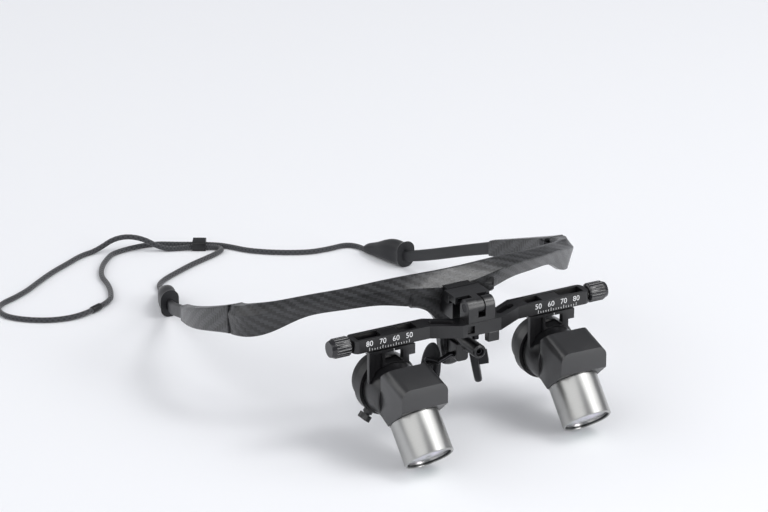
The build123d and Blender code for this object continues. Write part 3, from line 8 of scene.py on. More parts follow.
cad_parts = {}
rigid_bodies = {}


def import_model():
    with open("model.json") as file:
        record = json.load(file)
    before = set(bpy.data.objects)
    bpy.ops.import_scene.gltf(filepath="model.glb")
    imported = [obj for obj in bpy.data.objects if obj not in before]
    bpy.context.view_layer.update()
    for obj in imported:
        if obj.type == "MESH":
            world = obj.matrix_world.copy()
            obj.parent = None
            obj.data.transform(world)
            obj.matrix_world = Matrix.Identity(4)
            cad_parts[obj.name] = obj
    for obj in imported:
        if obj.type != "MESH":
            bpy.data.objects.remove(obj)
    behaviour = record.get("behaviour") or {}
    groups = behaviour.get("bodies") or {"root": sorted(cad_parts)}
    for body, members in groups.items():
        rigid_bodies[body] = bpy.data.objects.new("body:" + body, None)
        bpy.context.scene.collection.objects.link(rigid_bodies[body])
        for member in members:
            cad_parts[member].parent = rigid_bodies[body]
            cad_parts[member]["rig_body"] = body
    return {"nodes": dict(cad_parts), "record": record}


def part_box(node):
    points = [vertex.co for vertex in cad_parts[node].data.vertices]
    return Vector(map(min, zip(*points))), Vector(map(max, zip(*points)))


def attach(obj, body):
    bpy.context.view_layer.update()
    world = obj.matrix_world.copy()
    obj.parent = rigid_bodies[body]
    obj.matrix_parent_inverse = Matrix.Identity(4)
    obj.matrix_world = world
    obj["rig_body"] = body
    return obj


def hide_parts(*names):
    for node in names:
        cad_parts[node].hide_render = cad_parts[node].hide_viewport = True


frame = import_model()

# Dental loupes: two prism telescopes on a flip-up rail, carried by a carbon spectacle
# frame that lies on a table with its retaining cord. Metres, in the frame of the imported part.

MM = 0.001
SIDES = {"left": 1, "right": -1}
# A Mix node's sockets go by number, because their names repeat: its factor, and A and B of each kind.
MIX_FACTOR, NUMBER_A, NUMBER_B, COLOUR_A, COLOUR_B = 0, 2, 3, 6, 7
MIXED_NUMBER, MIXED_COLOUR = 0, 2
nodes = frame["nodes"]
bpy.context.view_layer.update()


# ---------------------------------------------------------------- camera
def look_from(at, azimuth, elevation, lens):
    """A camera that looks from a point along azimuth (0 is along +Y) and down by elevation."""
    data = bpy.data.cameras.new("camera")
    data.lens = lens
    data.sensor_width = 36.0
    data.clip_start = 0.05
    data.clip_end = 50.0
    camera = bpy.data.objects.new("camera", data)
    bpy.context.scene.collection.objects.link(camera)
    camera.rotation_euler = (math.radians(90 - elevation), 0, math.radians(azimuth))
    camera.location = at
    bpy.context.scene.camera = camera


look_from((-0.5422, -0.9945, 0.5100), azimuth=-28.6, elevation=22.5, lens=164.06)


# ---------------------------------------------------------------- building materials
def colour(hex_value):
    """A linear RGBA colour from an sRGB hex value."""
    channels = [int(hex_value[i:i + 2], 16) / 255 for i in (1, 3, 5)]
    linear = [c / 12.92 if c <= 0.04045 else ((c + 0.055) / 1.055) ** 2.4 for c in channels]
    return (*linear, 1.0)


def node(tree, kind, feeds=None, **settings):
    """Adds one node. Each feed is a value for a socket, or an output that is linked into it."""
    added = tree.nodes.new(kind)
    for name, value in settings.items():
        setattr(added, name, value)
    for key, feed in (feeds or {}).items():
        if isinstance(feed, bpy.types.NodeSocket):
            tree.links.new(feed, added.inputs[key])
        else:
            added.inputs[key].default_value = feed
    return added


def new_material(name, base, **sockets):
    """A material, its tree, its shader and the Object coordinates."""
    material = bpy.data.materials.new(name)
    material.use_nodes = True
    tree = material.node_tree
    shader = tree.nodes["Principled BSDF"]
    shader.inputs["Base Color"].default_value = colour(base)
    for socket, value in sockets.items():
        shader.inputs[socket.replace("_", " ")].default_value = value
    spot = node(tree, "ShaderNodeTexCoord").outputs["Object"]
    return material, tree, shader, spot


def add_grain(tree, shader, spot, size, depth, share):
    """Even grain of the given size in metres, and roughness that wanders a little over centimetres."""
    grain = node(
        tree, "ShaderNodeTexNoise", {"Scale": 1 / size, "Detail": 3.0, "Roughness": 0.6, "Vector": spot}
    )
    bump = node(
        tree, "ShaderNodeBump", {"Height": grain.outputs["Fac"], "Strength": share, "Distance": depth}
    )
    tree.links.new(bump.outputs["Normal"], shader.inputs["Normal"])
    cloud = node(tree, "ShaderNodeTexNoise", {"Scale": 1 / (11.1 * MM), "Detail": 4.0, "Vector": spot})
    rough = shader.inputs["Roughness"].default_value
    wander = 0.06
    spread = node(tree, "ShaderNodeMapRange", {
        "Value": cloud.outputs["Fac"], "From Min": 0.3, "From Max": 0.7,
        "To Min": rough - wander, "To Max": rough + wander,
    })
    tree.links.new(spread.outputs["Result"], shader.inputs["Roughness"])


# ---------------------------------------------------------------- metals
def black_anodised_aluminium(name="black_anodised_aluminium", base="#111113", rough=0.33, index=1.58):
    """6061 aluminium, bead blasted and dyed black: satin, with a sparkle as fine as the 0.12 mm beads.
    The dyed oxide is glassy, so it reflects as a lacquer does."""
    material, tree, shader, spot = new_material(name, base, Roughness=rough, IOR=index)
    add_grain(tree, shader, spot, 0.12 * MM, 0.006 * MM, 0.35)
    return material


def satin_turned_aluminium(name, centre, axis):
    """Clear anodised aluminium with fine turning lines, 0.12 mm apart, square to the barrel's axis."""
    material, tree, shader, spot = new_material(name, "#b3b3b1", Metallic=1.0, Roughness=0.3)
    from_centre = node(tree, "ShaderNodeVectorMath", {0: spot, 1: centre}, operation="SUBTRACT")
    along = node(
        tree, "ShaderNodeVectorMath", {0: from_centre.outputs[0], 1: axis}, operation="DOT_PRODUCT"
    )
    feeds = {"W": along.outputs["Value"], "Scale": 1 / (0.12 * MM), "Detail": 2.0}
    lines = node(tree, "ShaderNodeTexNoise", feeds, noise_dimensions="1D").outputs["Fac"]
    bump = node(tree, "ShaderNodeBump", {"Height": lines, "Strength": 0.35, "Distance": 0.012 * MM})
    tree.links.new(bump.outputs["Normal"], shader.inputs["Normal"])
    shades = {MIX_FACTOR: lines, COLOUR_A: colour("#a4a4a2"), COLOUR_B: colour("#bebebc")}
    shade = node(tree, "ShaderNodeMix", shades, data_type="RGBA")
    tree.links.new(shade.outputs[MIXED_COLOUR], shader.inputs["Base Color"])
    return material


def blackened_steel():
    """Small screws and pins: hardened steel with an oiled black oxide, smoother than the anodised parts."""
    material, tree, shader, spot = new_material("blackened_steel", "#2b2b2d", Metallic=1.0, Roughness=0.3)
    add_grain(tree, shader, spot, 0.2 * MM, 0.004 * MM, 0.3)
    return material


def bright_steel():
    """Lead screws: plain turned stainless steel."""
    material, tree, shader, spot = new_material("bright_steel", "#b8b6b2", Metallic=1.0, Roughness=0.24)
    add_grain(tree, shader, spot, 0.15 * MM, 0.004 * MM, 0.3)
    return material


# ---------------------------------------------------------------- glass
def coated_optical_glass(name="coated_optical_glass", index=1.52, clear=1.0):
    """Optical glass with an anti-reflection coating, which gives a faint violet bloom, and a little dust.
    The objectives are dense flint. Where clear is below one, the rest of the glass is a near-white diffuse
    base colour: a painted reflection of the pale table."""
    # Below a clear of one, the near-white base colour shows as diffuse colour: a painted reflection of the
    # table.
    material, tree, shader, spot = new_material(
        name, "#f2f5f4", Roughness=0.02, IOR=index, Transmission_Weight=clear,
        Thin_Film_Thickness=420.0, Thin_Film_IOR=1.38,
    )
    dust = node(tree, "ShaderNodeTexNoise", {"Scale": 1 / (1.11 * MM), "Detail": 2.0, "Vector": spot})
    haze = node(tree, "ShaderNodeMapRange", {
        "Value": dust.outputs["Fac"], "From Min": 0.55, "From Max": 0.8, "To Min": 0.015, "To Max": 0.06,
    })
    tree.links.new(haze.outputs["Result"], shader.inputs["Roughness"])
    return material


# ---------------------------------------------------------------- plastics, rubber and cord
def straight_cloth(tree, spot):
    """How far along and how high a point lies on cloth that runs along a temple."""
    at = node(tree, "ShaderNodeSeparateXYZ", {"Vector": spot})
    return at.outputs["Y"], at.outputs["Z"]


def wrapped_cloth(tree, spot, radius, middle_y):
    """How far round and how high a point lies on cloth that is wrapped to a radius, as on the brow.
    Over the brow's top and under its lower edge the cloth turns inwards, so depth counts as height."""
    at = node(tree, "ShaderNodeSeparateXYZ", {"Vector": spot})
    back = node(tree, "ShaderNodeMath", {0: middle_y, 1: at.outputs["Y"]}, operation="SUBTRACT").outputs[0]
    angle = node(tree, "ShaderNodeMath", {0: at.outputs["X"], 1: back}, operation="ARCTAN2").outputs[0]
    run = node(tree, "ShaderNodeMath", {0: angle, 1: radius}, operation="MULTIPLY").outputs[0]
    level = node(tree, "ShaderNodeCombineXYZ", {"X": at.outputs["X"], "Y": back}).outputs[0]
    away = node(tree, "ShaderNodeVectorMath", {0: level}, operation="LENGTH").outputs["Value"]
    depth = node(tree, "ShaderNodeMath", {0: radius, 1: away}, operation="SUBTRACT").outputs[0]
    normal = node(tree, "ShaderNodeNewGeometry").outputs["Normal"]
    upward = node(tree, "ShaderNodeSeparateXYZ", {"Vector": normal}).outputs["Z"]
    above = node(tree, "ShaderNodeMath", {0: upward, 1: 0.0}, operation="GREATER_THAN").outputs[0]
    way = node(tree, "ShaderNodeMath", {0: above, 1: 2.0, 2: -1.0}, operation="MULTIPLY_ADD").outputs[0]
    height = node(tree, "ShaderNodeMath", {0: depth, 1: way, 2: at.outputs["Z"]}, operation="MULTIPLY_ADD")
    return run, height.outputs[0]


def woven_carbon(name, wrap=None):
    """Twill carbon cloth, tows 1.4 mm wide, under a satin lacquer: the light that warp and weft catch by
    turns is painted into the colour as a painted sheen, brighter on the warp.
    A wrap is a radius and its centre's Y; without one the cloth runs along a temple."""
    material, tree, shader, spot = new_material(
        name, "#111113", Roughness=0.42, Coat_Weight=0.35, Coat_Roughness=0.2, Coat_IOR=1.5
    )
    run, height = wrapped_cloth(tree, spot, *wrap) if wrap else straight_cloth(tree, spot)

    # The cloth's place in tows, X along it and Y across. Hand-laid tows wander a little, sideways most.
    tow = (1.4 * MM, 1.26 * MM, 1.0)
    sway = (2.4 * MM, 1.44 * MM, 0.0)
    flat = node(tree, "ShaderNodeCombineXYZ", {"X": run, "Y": height}).outputs[0]
    wander = node(tree, "ShaderNodeTexNoise", {"Scale": 1 / (9.1 * MM), "Detail": 2.0, "Vector": spot})
    drift = node(tree, "ShaderNodeMath", {0: wander.outputs["Fac"], 1: 0.5}, operation="SUBTRACT")
    swayed = {0: drift.outputs[0], 1: sway, 2: flat}
    laid = node(tree, "ShaderNodeVectorMath", swayed, operation="MULTIPLY_ADD").outputs[0]
    tows = node(tree, "ShaderNodeVectorMath", {0: laid, 1: tow}, operation="DIVIDE").outputs[0]

    # Twill: where the warp is on top moves one tow along in each row, and comes back after four.
    number = node(tree, "ShaderNodeVectorMath", {0: tows}, operation="FLOOR").outputs[0]
    row = node(tree, "ShaderNodeVectorMath", {0: number, 1: (1, 1, 0)}, operation="DOT_PRODUCT")
    turn = node(tree, "ShaderNodeMath", {0: row.outputs["Value"], 1: 4.0}, operation="FLOORED_MODULO")
    on_top = node(tree, "ShaderNodeMath", {0: turn.outputs[0], 1: 1.5}, operation="LESS_THAN").outputs[0]

    # Each tow is crowned and has fine ridges along its fibres, a sixth of a tow apart, so that they show.
    within = node(tree, "ShaderNodeVectorMath", {0: tows}, operation="FRACTION").outputs[0]
    off = node(tree, "ShaderNodeVectorMath", {0: within, 1: (0.5, 0.5, 0)}, operation="SUBTRACT").outputs[0]
    crowns = node(tree, "ShaderNodeVectorMath", {0: off, 1: off}, operation="MULTIPLY").outputs[0]
    wave = (2 * math.pi / 0.16,) * 3
    phase = node(tree, "ShaderNodeVectorMath", {0: tows, 1: wave}, operation="MULTIPLY").outputs[0]
    ridges = node(tree, "ShaderNodeVectorMath", {0: phase}, operation="SINE").outputs[0]
    low = node(tree, "ShaderNodeVectorMath", {0: ridges, 1: (0.03,) * 3}, operation="MULTIPLY").outputs[0]
    relief = node(tree, "ShaderNodeVectorMath", {0: low, 1: crowns}, operation="SUBTRACT").outputs[0]
    weft_and_warp = node(tree, "ShaderNodeSeparateXYZ", {"Vector": relief})
    crossing = {
        MIX_FACTOR: on_top, NUMBER_A: weft_and_warp.outputs["X"], NUMBER_B: weft_and_warp.outputs["Y"]
    }
    surface = node(tree, "ShaderNodeMix", crossing, data_type="FLOAT").outputs[MIXED_NUMBER]
    bump = node(tree, "ShaderNodeBump", {"Height": surface, "Strength": 0.75, "Distance": 0.3 * MM})
    tree.links.new(bump.outputs["Normal"], shader.inputs["Normal"])

    # The warp's sheen is painted into the colour: the warp is painted brighter than the weft, and both are
    # patchy.
    patch = node(tree, "ShaderNodeTexNoise", {"Scale": 1 / (3.85 * MM), "Detail": 3.0, "Vector": spot})
    warp_painted_sheen = node(tree, "ShaderNodeMath", {0: on_top, 1: 0.62, 2: 0.1}, operation="MULTIPLY_ADD")
    painted_sheen = node(
        tree, "ShaderNodeMath", {0: warp_painted_sheen.outputs[0], 1: patch.outputs["Fac"]}, operation="MULTIPLY"
    )
    shades = {MIX_FACTOR: painted_sheen.outputs[0], COLOUR_A: colour("#060607"), COLOUR_B: colour("#4c4d50")}
    shade = node(tree, "ShaderNodeMix", shades, data_type="RGBA")
    tree.links.new(shade.outputs[MIXED_COLOUR], shader.inputs["Base Color"])
    return material


def moulded_nylon():
    """Glass-filled nylon of the temple arms: dark grey, with the even matt grain of its mould."""
    material, tree, shader, spot = new_material("moulded_nylon", "#1e1f22", Roughness=0.5, IOR=1.53)
    add_grain(tree, shader, spot, 0.35 * MM, 0.02 * MM, 0.35)
    return material


def silicone_rubber():
    """Sleeves and nose pads: soft black silicone, matt, with a pale bloom at grazing angles."""
    material, tree, shader, spot = new_material(
        "silicone_rubber", "#1b1c1f", Roughness=0.55, IOR=1.41, Sheen_Weight=0.25, Sheen_Roughness=0.4
    )
    add_grain(tree, shader, spot, 0.4 * MM, 0.03 * MM, 0.3)
    return material


def moulded_acetal():
    """Bead and crimp on the cord: black acetal, faintly glossy."""
    material, tree, shader, spot = new_material("moulded_acetal", "#141517", Roughness=0.36, IOR=1.48)
    add_grain(tree, shader, spot, 0.5 * MM, 0.01 * MM, 0.3)
    return material


def braided_polyester(name, length):
    """A round braid on a cord of the given length: strands cross in a herringbone that runs along it.
    Its real strands are 0.4 mm apart; they are drawn 1.6 mm apart, so that they show."""
    material, tree, shader, _ = new_material(
        name, "#2a2b2f", Roughness=0.78, Sheen_Weight=0.35, Sheen_Roughness=0.5
    )
    unwrapped = node(tree, "ShaderNodeTexCoord").outputs["UV"]
    turns_along = length / (1.6 * MM)
    strands_around = 4
    waves = []
    for way in (-1, 1):
        twist = (2 * math.pi * turns_along, way * 2 * math.pi * strands_around, 0)
        phase = node(tree, "ShaderNodeVectorMath", {0: unwrapped, 1: twist}, operation="DOT_PRODUCT")
        wave = node(tree, "ShaderNodeMath", {0: phase.outputs["Value"]}, operation="SINE")
        waves.append(wave.outputs[0])
    higher = node(tree, "ShaderNodeMath", dict(enumerate(waves)), operation="MAXIMUM").outputs[0]
    bump = node(tree, "ShaderNodeBump", {"Height": higher, "Strength": 0.6, "Distance": 0.1 * MM})
    tree.links.new(bump.outputs["Normal"], shader.inputs["Normal"])
    # Painted shade: the grooves between the strands are painted darker and the crowns lighter.
    painted_strand_shade = node(tree, "ShaderNodeMapRange", {"Value": higher, "From Min": -0.6}).outputs["Result"]
    shades = {MIX_FACTOR: painted_strand_shade, COLOUR_A: colour("#131417"), COLOUR_B: colour("#3a3b3f")}
    shade = node(tree, "ShaderNodeMix", shades, data_type="RGBA")
    tree.links.new(shade.outputs[MIXED_COLOUR], shader.inputs["Base Color"])
    return material


def white_enamel():
    """Paint in the engraved scale: a thin, slightly uneven white."""
    material, tree, shader, spot = new_material("white_enamel", "#e4e5e6", Roughness=0.5)
    add_grain(tree, shader, spot, 0.15 * MM, 0.004 * MM, 0.4)
    return material


# ---------------------------------------------------------------- building pieces
def add_piece(name, bm, material, body, smooth=40.0):
    """Makes a piece of a bmesh, smooth but for edges sharper than smooth, and lets it ride on its body."""
    mesh = bpy.data.meshes.new(name)
    bm.to_mesh(mesh)
    bm.free()
    mesh.materials.append(material)
    mesh.shade_smooth()
    mesh.set_sharp_from_angle(angle=math.radians(smooth))
    piece = bpy.data.objects.new(name, mesh)
    bpy.context.scene.collection.objects.link(piece)
    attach(piece, body)
    return piece


def body_of(node_name):
    """The body that a CAD node moves with."""
    return nodes[node_name]["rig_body"]


def break_edges(bm, width, segments, sharper):
    """Rounds every edge sharper than the given angle, as tumbling or a file does."""
    sharp = [
        edge for edge in bm.edges
        if len(edge.link_faces) == 2 and edge.calc_face_angle(0) > math.radians(sharper)
    ]
    bmesh.ops.bevel(
        bm, geom=sharp, offset=width, segments=segments, profile=0.5, affect="EDGES",
        material=-1, clamp_overlap=True,
    )


def make_whole(bm):
    """Merges loose triangles, and joins those that lie in one flat face."""
    bmesh.ops.remove_doubles(bm, verts=bm.verts, dist=0.002 * MM)
    bmesh.ops.dissolve_limit(bm, angle_limit=math.radians(0.6), verts=bm.verts, edges=bm.edges)


def mill(bm, tool):
    """Takes the tool, a closed bmesh, out of another one and uses it up."""
    pair = []
    for name, shape in (("work", bm), ("tool", tool)):
        mesh = bpy.data.meshes.new(name)
        shape.to_mesh(mesh)
        pair.append(bpy.data.objects.new(name, mesh))
        bpy.context.scene.collection.objects.link(pair[-1])
    cut = pair[0].modifiers.new("mill", "BOOLEAN")
    cut.operation = "DIFFERENCE"
    cut.solver = "EXACT"
    cut.object = pair[1]
    graph = bpy.context.evaluated_depsgraph_get()
    milled = bpy.data.meshes.new_from_object(pair[0].evaluated_get(graph))
    bm.clear()
    bm.from_mesh(milled)
    tool.free()
    # An object goes with its mesh.
    for mesh in (pair[0].data, pair[1].data, milled):
        bpy.data.meshes.remove(mesh)


def dress(node_name, material, edge=0.12 * MM, segments=2, sharper=28.0, smooth=21.0, tool=None):
    """A finished copy of a CAD node: its flat faces made whole, a tool's shape cut out, its edges broken.
    Edges sharper than smooth stay hard, so that a flat face beside a broken edge shades flat."""
    bm = bmesh.new()
    bm.from_mesh(nodes[node_name].data)
    make_whole(bm)
    if tool:
        mill(bm, tool)
        make_whole(bm)
    break_edges(bm, edge, segments, sharper)
    piece = add_piece(
        node_name + "_finished", bm, material, body_of(node_name), smooth
    )
    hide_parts(node_name)
    return piece


# ---------------------------------------------------------------- cord
# Every place below is in millimetres from the middle of the rail, as on the drawings, where the
# rail's own low corner is RAIL_LOW.
RAIL_LOW = Vector((-45.6, -5.2, 0.0)) * MM
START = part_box("rail")[0] - RAIL_LOW


def place(x, y, z=0.0):
    """A point in metres from millimetres on the drawings."""
    return START + Vector((x, y, z)) * MM


# The cord's facts: a limp 2 mm round braid. Each strand comes straight out of a sleeve's tip and
# lies on the table, both run through the bead, and they meet in the two ends of the crimp.
CORD_RADIUS = 1.0
ON_TABLE = -36.5
IN_BEAD = -36.1
IN_CRIMP = -36.2
OVER_CROSSING = -31.5
CORD_LEFT = [
    (42.9, 156.84, ON_TABLE), (42.1, 161.8, ON_TABLE), (38.0, 165.0, ON_TABLE), (31.4, 164.3, ON_TABLE),
    (23.6, 164.8, ON_TABLE), (16.0, 168.2, ON_TABLE), (8.8, 172.8, ON_TABLE), (3.0, 177.9, ON_TABLE),
    (-0.4, 183.2, ON_TABLE), (-3.6, 187.4, ON_TABLE), (-8.66, 189.85, IN_BEAD), (-12.99, 192.35, IN_BEAD),
    (-18.6, 196.6, ON_TABLE), (-24.4, 200.3, ON_TABLE), (-31.2, 201.6, ON_TABLE), (-42.6, 200.2, ON_TABLE),
    (-47.6, 195.8, ON_TABLE), (-52.6, 189.4, ON_TABLE), (-56.6, 181.2, ON_TABLE), (-57.4, 173.2, ON_TABLE),
    (-59.6, 165.4, ON_TABLE), (-63.47, 157.49, IN_CRIMP), (-68.9, 154.9, IN_CRIMP),
]
CORD_RIGHT = [
    (-42.9, 156.84, ON_TABLE), (-42.0, 162.4, ON_TABLE), (-37.4, 167.0, ON_TABLE), (-29.8, 171.2, ON_TABLE),
    (-21.4, 175.6, ON_TABLE), (-13.6, 178.6, ON_TABLE), (-7.6, 181.2, ON_TABLE), (-5.0, 183.3, ON_TABLE),
    (-5.6, 185.9, ON_TABLE), (-9.81, 187.85, IN_BEAD), (-14.14, 190.35, IN_BEAD), (-18.8, 192.0, ON_TABLE),
    (-24.8, 194.4, ON_TABLE), (-32.4, 198.6, OVER_CROSSING), (-40.2, 202.9, OVER_CROSSING),
    (-47.9, 205.0, ON_TABLE), (-55.0, 203.4, ON_TABLE), (-62.6, 198.6, ON_TABLE), (-71.4, 193.4, ON_TABLE),
    (-79.4, 187.4, ON_TABLE), (-86.2, 181.9, ON_TABLE), (-93.2, 177.8, ON_TABLE), (-99.2, 175.2, ON_TABLE),
    (-102.6, 171.4, ON_TABLE), (-103.2, 166.4, ON_TABLE), (-101.4, 161.4, ON_TABLE),
    (-95.8, 155.8, ON_TABLE), (-88.0, 151.6, ON_TABLE), (-78.53, 150.31, IN_CRIMP),
    (-73.1, 152.9, IN_CRIMP),
]


def lay_cord(name, route, length):
    """A round cord of the given length in metres along the route, smooth from end to end."""
    curve = bpy.data.curves.new(name, "CURVE")
    curve.dimensions = "3D"
    curve.resolution_u = 14
    curve.bevel_depth = CORD_RADIUS * MM
    curve.bevel_resolution = 5
    curve.use_fill_caps = True
    spline = curve.splines.new("NURBS")
    spline.points.add(len(route) - 1)
    for point, at in zip(spline.points, route):
        point.co = (*place(*at), 1.0)
    spline.order_u = 3
    spline.use_endpoint_u = True
    curve.materials.append(braided_polyester(name + "_braid", length))
    cord = bpy.data.objects.new(name, curve)
    bpy.context.scene.collection.objects.link(cord)
    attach(cord, "frame")
    return cord


acetal = moulded_acetal()
bead = dress("cord_bead", acetal, edge=0.3 * MM, segments=3)
crimp = dress("cord_crimp", acetal, edge=0.25 * MM, segments=3)

for side, route, length in (("left", CORD_LEFT, 0.157), ("right", CORD_RIGHT, 0.206)):
    strand = lay_cord(f"cord_{side}_braided", route, length)
    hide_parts("cord_" + side)


# ---------------------------------------------------------------- spectacle frame
BROW_WRAP = 87.0
BROW_FRONT = 12.5
brow_centre = place(0, BROW_FRONT + BROW_WRAP)
carbon_brow = woven_carbon("woven_carbon_brow", (BROW_WRAP * MM, brow_centre.y))
carbon_temple = woven_carbon("woven_carbon_temple")
nylon = moulded_nylon()
silicone = silicone_rubber()
anodised = black_anodised_aluminium()
dark_steel = blackened_steel()
steel = bright_steel()

dress("brow_frame", carbon_brow, edge=0.3 * MM, sharper=18.0, smooth=13.0)
for side in SIDES:
    dress("temple_front_" + side, carbon_temple, edge=0.25 * MM, segments=3)
    dress("temple_arm_" + side, nylon, edge=0.2 * MM, segments=3)
    dress("temple_sleeve_" + side, silicone, edge=0.5 * MM, segments=4, smooth=50.0)
    dress("nose_pad_" + side, silicone, edge=0.3 * MM, segments=3, smooth=50.0)
    dress("pad_arm_" + side, dark_steel, edge=0.1 * MM, smooth=40.0)
    for leaf in ("frame_leaf_", "temple_leaf_"):
        dress(leaf + side, dark_steel, edge=0.1 * MM)
dress("hinge_screws", dark_steel, edge=0.06 * MM, smooth=28.0)
dress("pad_bracket", anodised, edge=0.15 * MM)
dress("light_mount", anodised, edge=0.12 * MM)
dress("lock_screw", dark_steel, edge=0.06 * MM, smooth=28.0)

# ---------------------------------------------------------------- flip hinge and rail
for part in ("flip_tongue", "mount_block", "flip_clevis", "stop_block"):
    dress(part, anodised, edge=0.18 * MM)
for part in ("mount_screws", "flip_pin", "clevis_screw", "bridge_screw"):
    dress(part, dark_steel, edge=0.08 * MM, smooth=28.0)
dress("rail", anodised, edge=0.22 * MM, sharper=10.0, smooth=20.0)
knob_metal = black_anodised_aluminium("black_anodised_knurl", "#1c1c1f", 0.24)

# The hanger is a thin plate in front of its ring: behind the plate's window the web is milled away
# down to a thin skin on the ring, so that the table shows through above it.
PUPIL_HALF = 31.0
OCULAR_Z = -15.4
RING_RADIUS = 10.8
RING_SKIN = 0.03
WEB_LOW_X, WEB_HIGH_X = -4.5, 5.8
WEB_FRONT, WEB_BACK = 1.6, 7.7
WINDOW_TOP = -1.32
ARC_STEPS = 24


def web_tool(middle):
    """What is milled away behind one window: flat on top, and round the ring below."""
    bm = bmesh.new()
    corners = [(WEB_HIGH_X, WINDOW_TOP), (WEB_LOW_X, WINDOW_TOP)]
    for step in range(ARC_STEPS + 1):
        x = WEB_LOW_X + (WEB_HIGH_X - WEB_LOW_X) * step / ARC_STEPS
        corners.append((x, OCULAR_Z + math.sqrt(RING_RADIUS ** 2 - x ** 2) + RING_SKIN))
    face = bm.faces.new([bm.verts.new(place(middle + x, WEB_FRONT, z)) for x, z in corners])
    grown = bmesh.ops.extrude_face_region(bm, geom=[face])
    moved = [item for item in grown["geom"] if isinstance(item, bmesh.types.BMVert)]
    bmesh.ops.translate(bm, vec=(0, (WEB_BACK - WEB_FRONT) * MM, 0), verts=moved)
    bmesh.ops.recalc_face_normals(bm, faces=bm.faces)
    return bm


for side, sign in SIDES.items():
    dress("knob_" + side, knob_metal, edge=0.08 * MM)
    dress("lead_screw_" + side, steel, edge=0.05 * MM)
    dress("carriage_" + side, anodised, edge=0.15 * MM)
    dress("hanger_" + side, anodised, edge=0.12 * MM, tool=web_tool(sign * PUPIL_HALF))
    dress("hanger_screw_" + side, dark_steel, edge=0.08 * MM)
    dress("thumb_screw_" + side, anodised, edge=0.2 * MM, segments=3)

# ---------------------------------------------------------------- telescopes
housing_metal = black_anodised_aluminium("black_anodised_housing", "#121214", 0.34, 1.8)
glass = coated_optical_glass()
# The objectives are a quarter clear; the rest is a painted reflection of the pale table, in near-white.
flint = coated_optical_glass("coated_flint_glass", 1.8, 0.25)
mounts = {mount["name"]: mount for mount in frame["record"]["mounts"]}
for side in SIDES:
    barrel = mounts["barrel_" + side]
    silver = satin_turned_aluminium("satin_turned_barrel_" + side, barrel["pos_m"], barrel["axis"])
    dress("ocular_tube_" + side, anodised, edge=0.12 * MM)
    dress("eyepiece_cap_" + side, acetal, edge=0.15 * MM)
    dress("prism_housing_" + side, housing_metal, edge=0.3 * MM, segments=3)
    dress("objective_barrel_" + side, silver, edge=0.12 * MM)
    dress("lens_retainer_" + side, anodised, edge=0.08 * MM)
    dress("objective_lens_" + side, flint, edge=0.1 * MM)
    for lens in ("eye_lens_", "roof_prism_"):
        dress(lens + side, glass, edge=0.1 * MM)


# ---------------------------------------------------------------- pupil distance scale
BAR_FACE = 0.0
HANGER_FACE = -0.5
PAINT = 0.02
NARROWEST, WIDEST = 50, 80
STROKE_LOW, SHORT_TOP, LONG_TOP = 0.35, 1.05, 1.5
STROKE_WIDTH, MARK_WIDTH = 0.16, 0.2
MARK_LOW, MARK_TOP = -1.2, -0.4
FIGURE_MIDDLE, FIGURE_HEIGHT = 2.85, 1.9
TYPE_PER_HEIGHT = 1.42
enamel = white_enamel()


def paint_strokes(name, strokes, y, width, body):
    """Flat painted strokes on the face at y, each given as its middle x, low z and high z."""
    bm = bmesh.new()
    for x, low, high in strokes:
        made = bmesh.ops.create_cube(bm, size=1.0)
        size = Matrix.Diagonal((width * MM, 2 * PAINT * MM, (high - low) * MM, 1.0))
        spot = Matrix.Translation(place(x, y, (low + high) / 2))
        bmesh.ops.transform(bm, matrix=spot @ size, verts=made["verts"])
    return add_piece(name, bm, enamel, body)


def paint_number(name, number, x):
    """A flat number on the bar's front face, with its middle at x."""
    text = bpy.data.curves.new(name, "FONT")
    text.body = str(number)
    text.align_x = "CENTER"
    text.align_y = "CENTER"
    text.size = FIGURE_HEIGHT * TYPE_PER_HEIGHT * MM
    text.extrude = PAINT * MM
    text.resolution_u = 4
    flat = bpy.data.objects.new(name + "_flat", text)
    mesh = bpy.data.meshes.new_from_object(flat)
    bpy.data.objects.remove(flat)
    bm = bmesh.new()
    bm.from_mesh(mesh)
    bpy.data.meshes.remove(mesh)
    bmesh.ops.remove_doubles(bm, verts=bm.verts, dist=0.0005 * MM)
    upright = Matrix.Rotation(math.radians(90), 4, "X")
    spot = Matrix.Translation(place(x, BAR_FACE, FIGURE_MIDDLE))
    bmesh.ops.transform(bm, matrix=spot @ upright, verts=bm.verts)
    return add_piece(name, bm, enamel, "flip_rail")


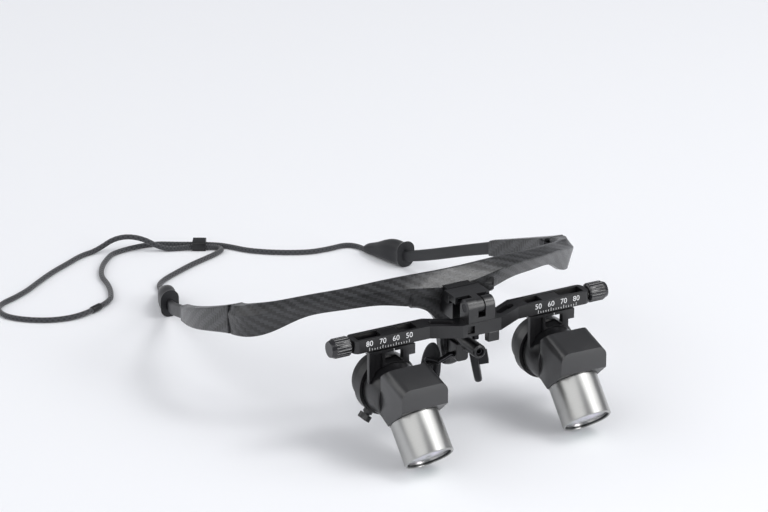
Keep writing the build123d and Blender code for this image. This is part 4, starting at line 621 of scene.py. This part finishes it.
for side, sign in SIDES.items():
    strokes = []
    for distance in range(NARROWEST, WIDEST + 1, 2):
        top = LONG_TOP if distance % 10 == 0 else SHORT_TOP
        strokes.append((sign * distance / 2, STROKE_LOW, top))
    paint_strokes("scale_strokes_" + side, strokes, BAR_FACE, STROKE_WIDTH, "flip_rail")
    for distance in range(NARROWEST, WIDEST + 1, 10):
        paint_number(f"scale_{distance}_{side}", distance, sign * distance / 2)
    mark = (sign * PUPIL_HALF, MARK_LOW, MARK_TOP)
    paint_strokes("index_mark_" + side, [mark], HANGER_FACE, MARK_WIDTH, "carriage_" + side)


# ---------------------------------------------------------------- floor and light
def add_floor():
    """A wide sheet of matt white paper under everything."""
    bm = bmesh.new()
    bmesh.ops.create_grid(bm, x_segments=1, y_segments=1, size=12.0)
    mesh = bpy.data.meshes.new("floor")
    bm.to_mesh(mesh)
    bm.free()
    paper, *_ = new_material("matt_white_paper", "#f0f1f4", Roughness=0.85)
    mesh.materials.append(paper)
    floor = bpy.data.objects.new("floor", mesh)
    bpy.context.scene.collection.objects.link(floor)


def add_softbox(name, at, aim, width, height, power):
    """A rectangular lamp, its sides in metres and its power in watts, turned to aim at a point."""
    light = bpy.data.lights.new(name, "AREA")
    light.shape = "RECTANGLE"
    light.size = width
    light.size_y = height
    light.energy = power
    lamp = bpy.data.objects.new(name, light)
    bpy.context.scene.collection.objects.link(lamp)
    lamp.location = at
    lamp.rotation_euler = (Vector(aim) - Vector(at)).to_track_quat("-Z", "Y").to_euler()


add_floor()
world = bpy.data.worlds.new("studio")
bpy.context.scene.world = world
world.use_nodes = True
sky = world.node_tree.nodes["Background"]
sky.inputs["Color"].default_value = colour("#eef0f6")
sky.inputs["Strength"].default_value = 0.34
bpy.context.scene.view_settings.view_transform = "Standard"
add_softbox("overhead_right", (1.1, -0.95, 1.7), (0, 0, 0), 2.2, 2.2, 24)
add_softbox("fill_left", (-2.2, -0.9, 1.9), (0, 0, 0), 3.6, 3.6, 44)
add_softbox("fill_back_left", (-1.5, 1.6, 1.3), (0, 0, 0), 2.0, 2.0, 14)
add_softbox("edge_light", (0.8, -0.69, 1.46), (0, 0, 0), 0.45, 0.45, 5)
add_softbox("key_front_right", (0.72, -1.42, 0.5), (0, 0, 0.02), 0.5, 1.0, 9)
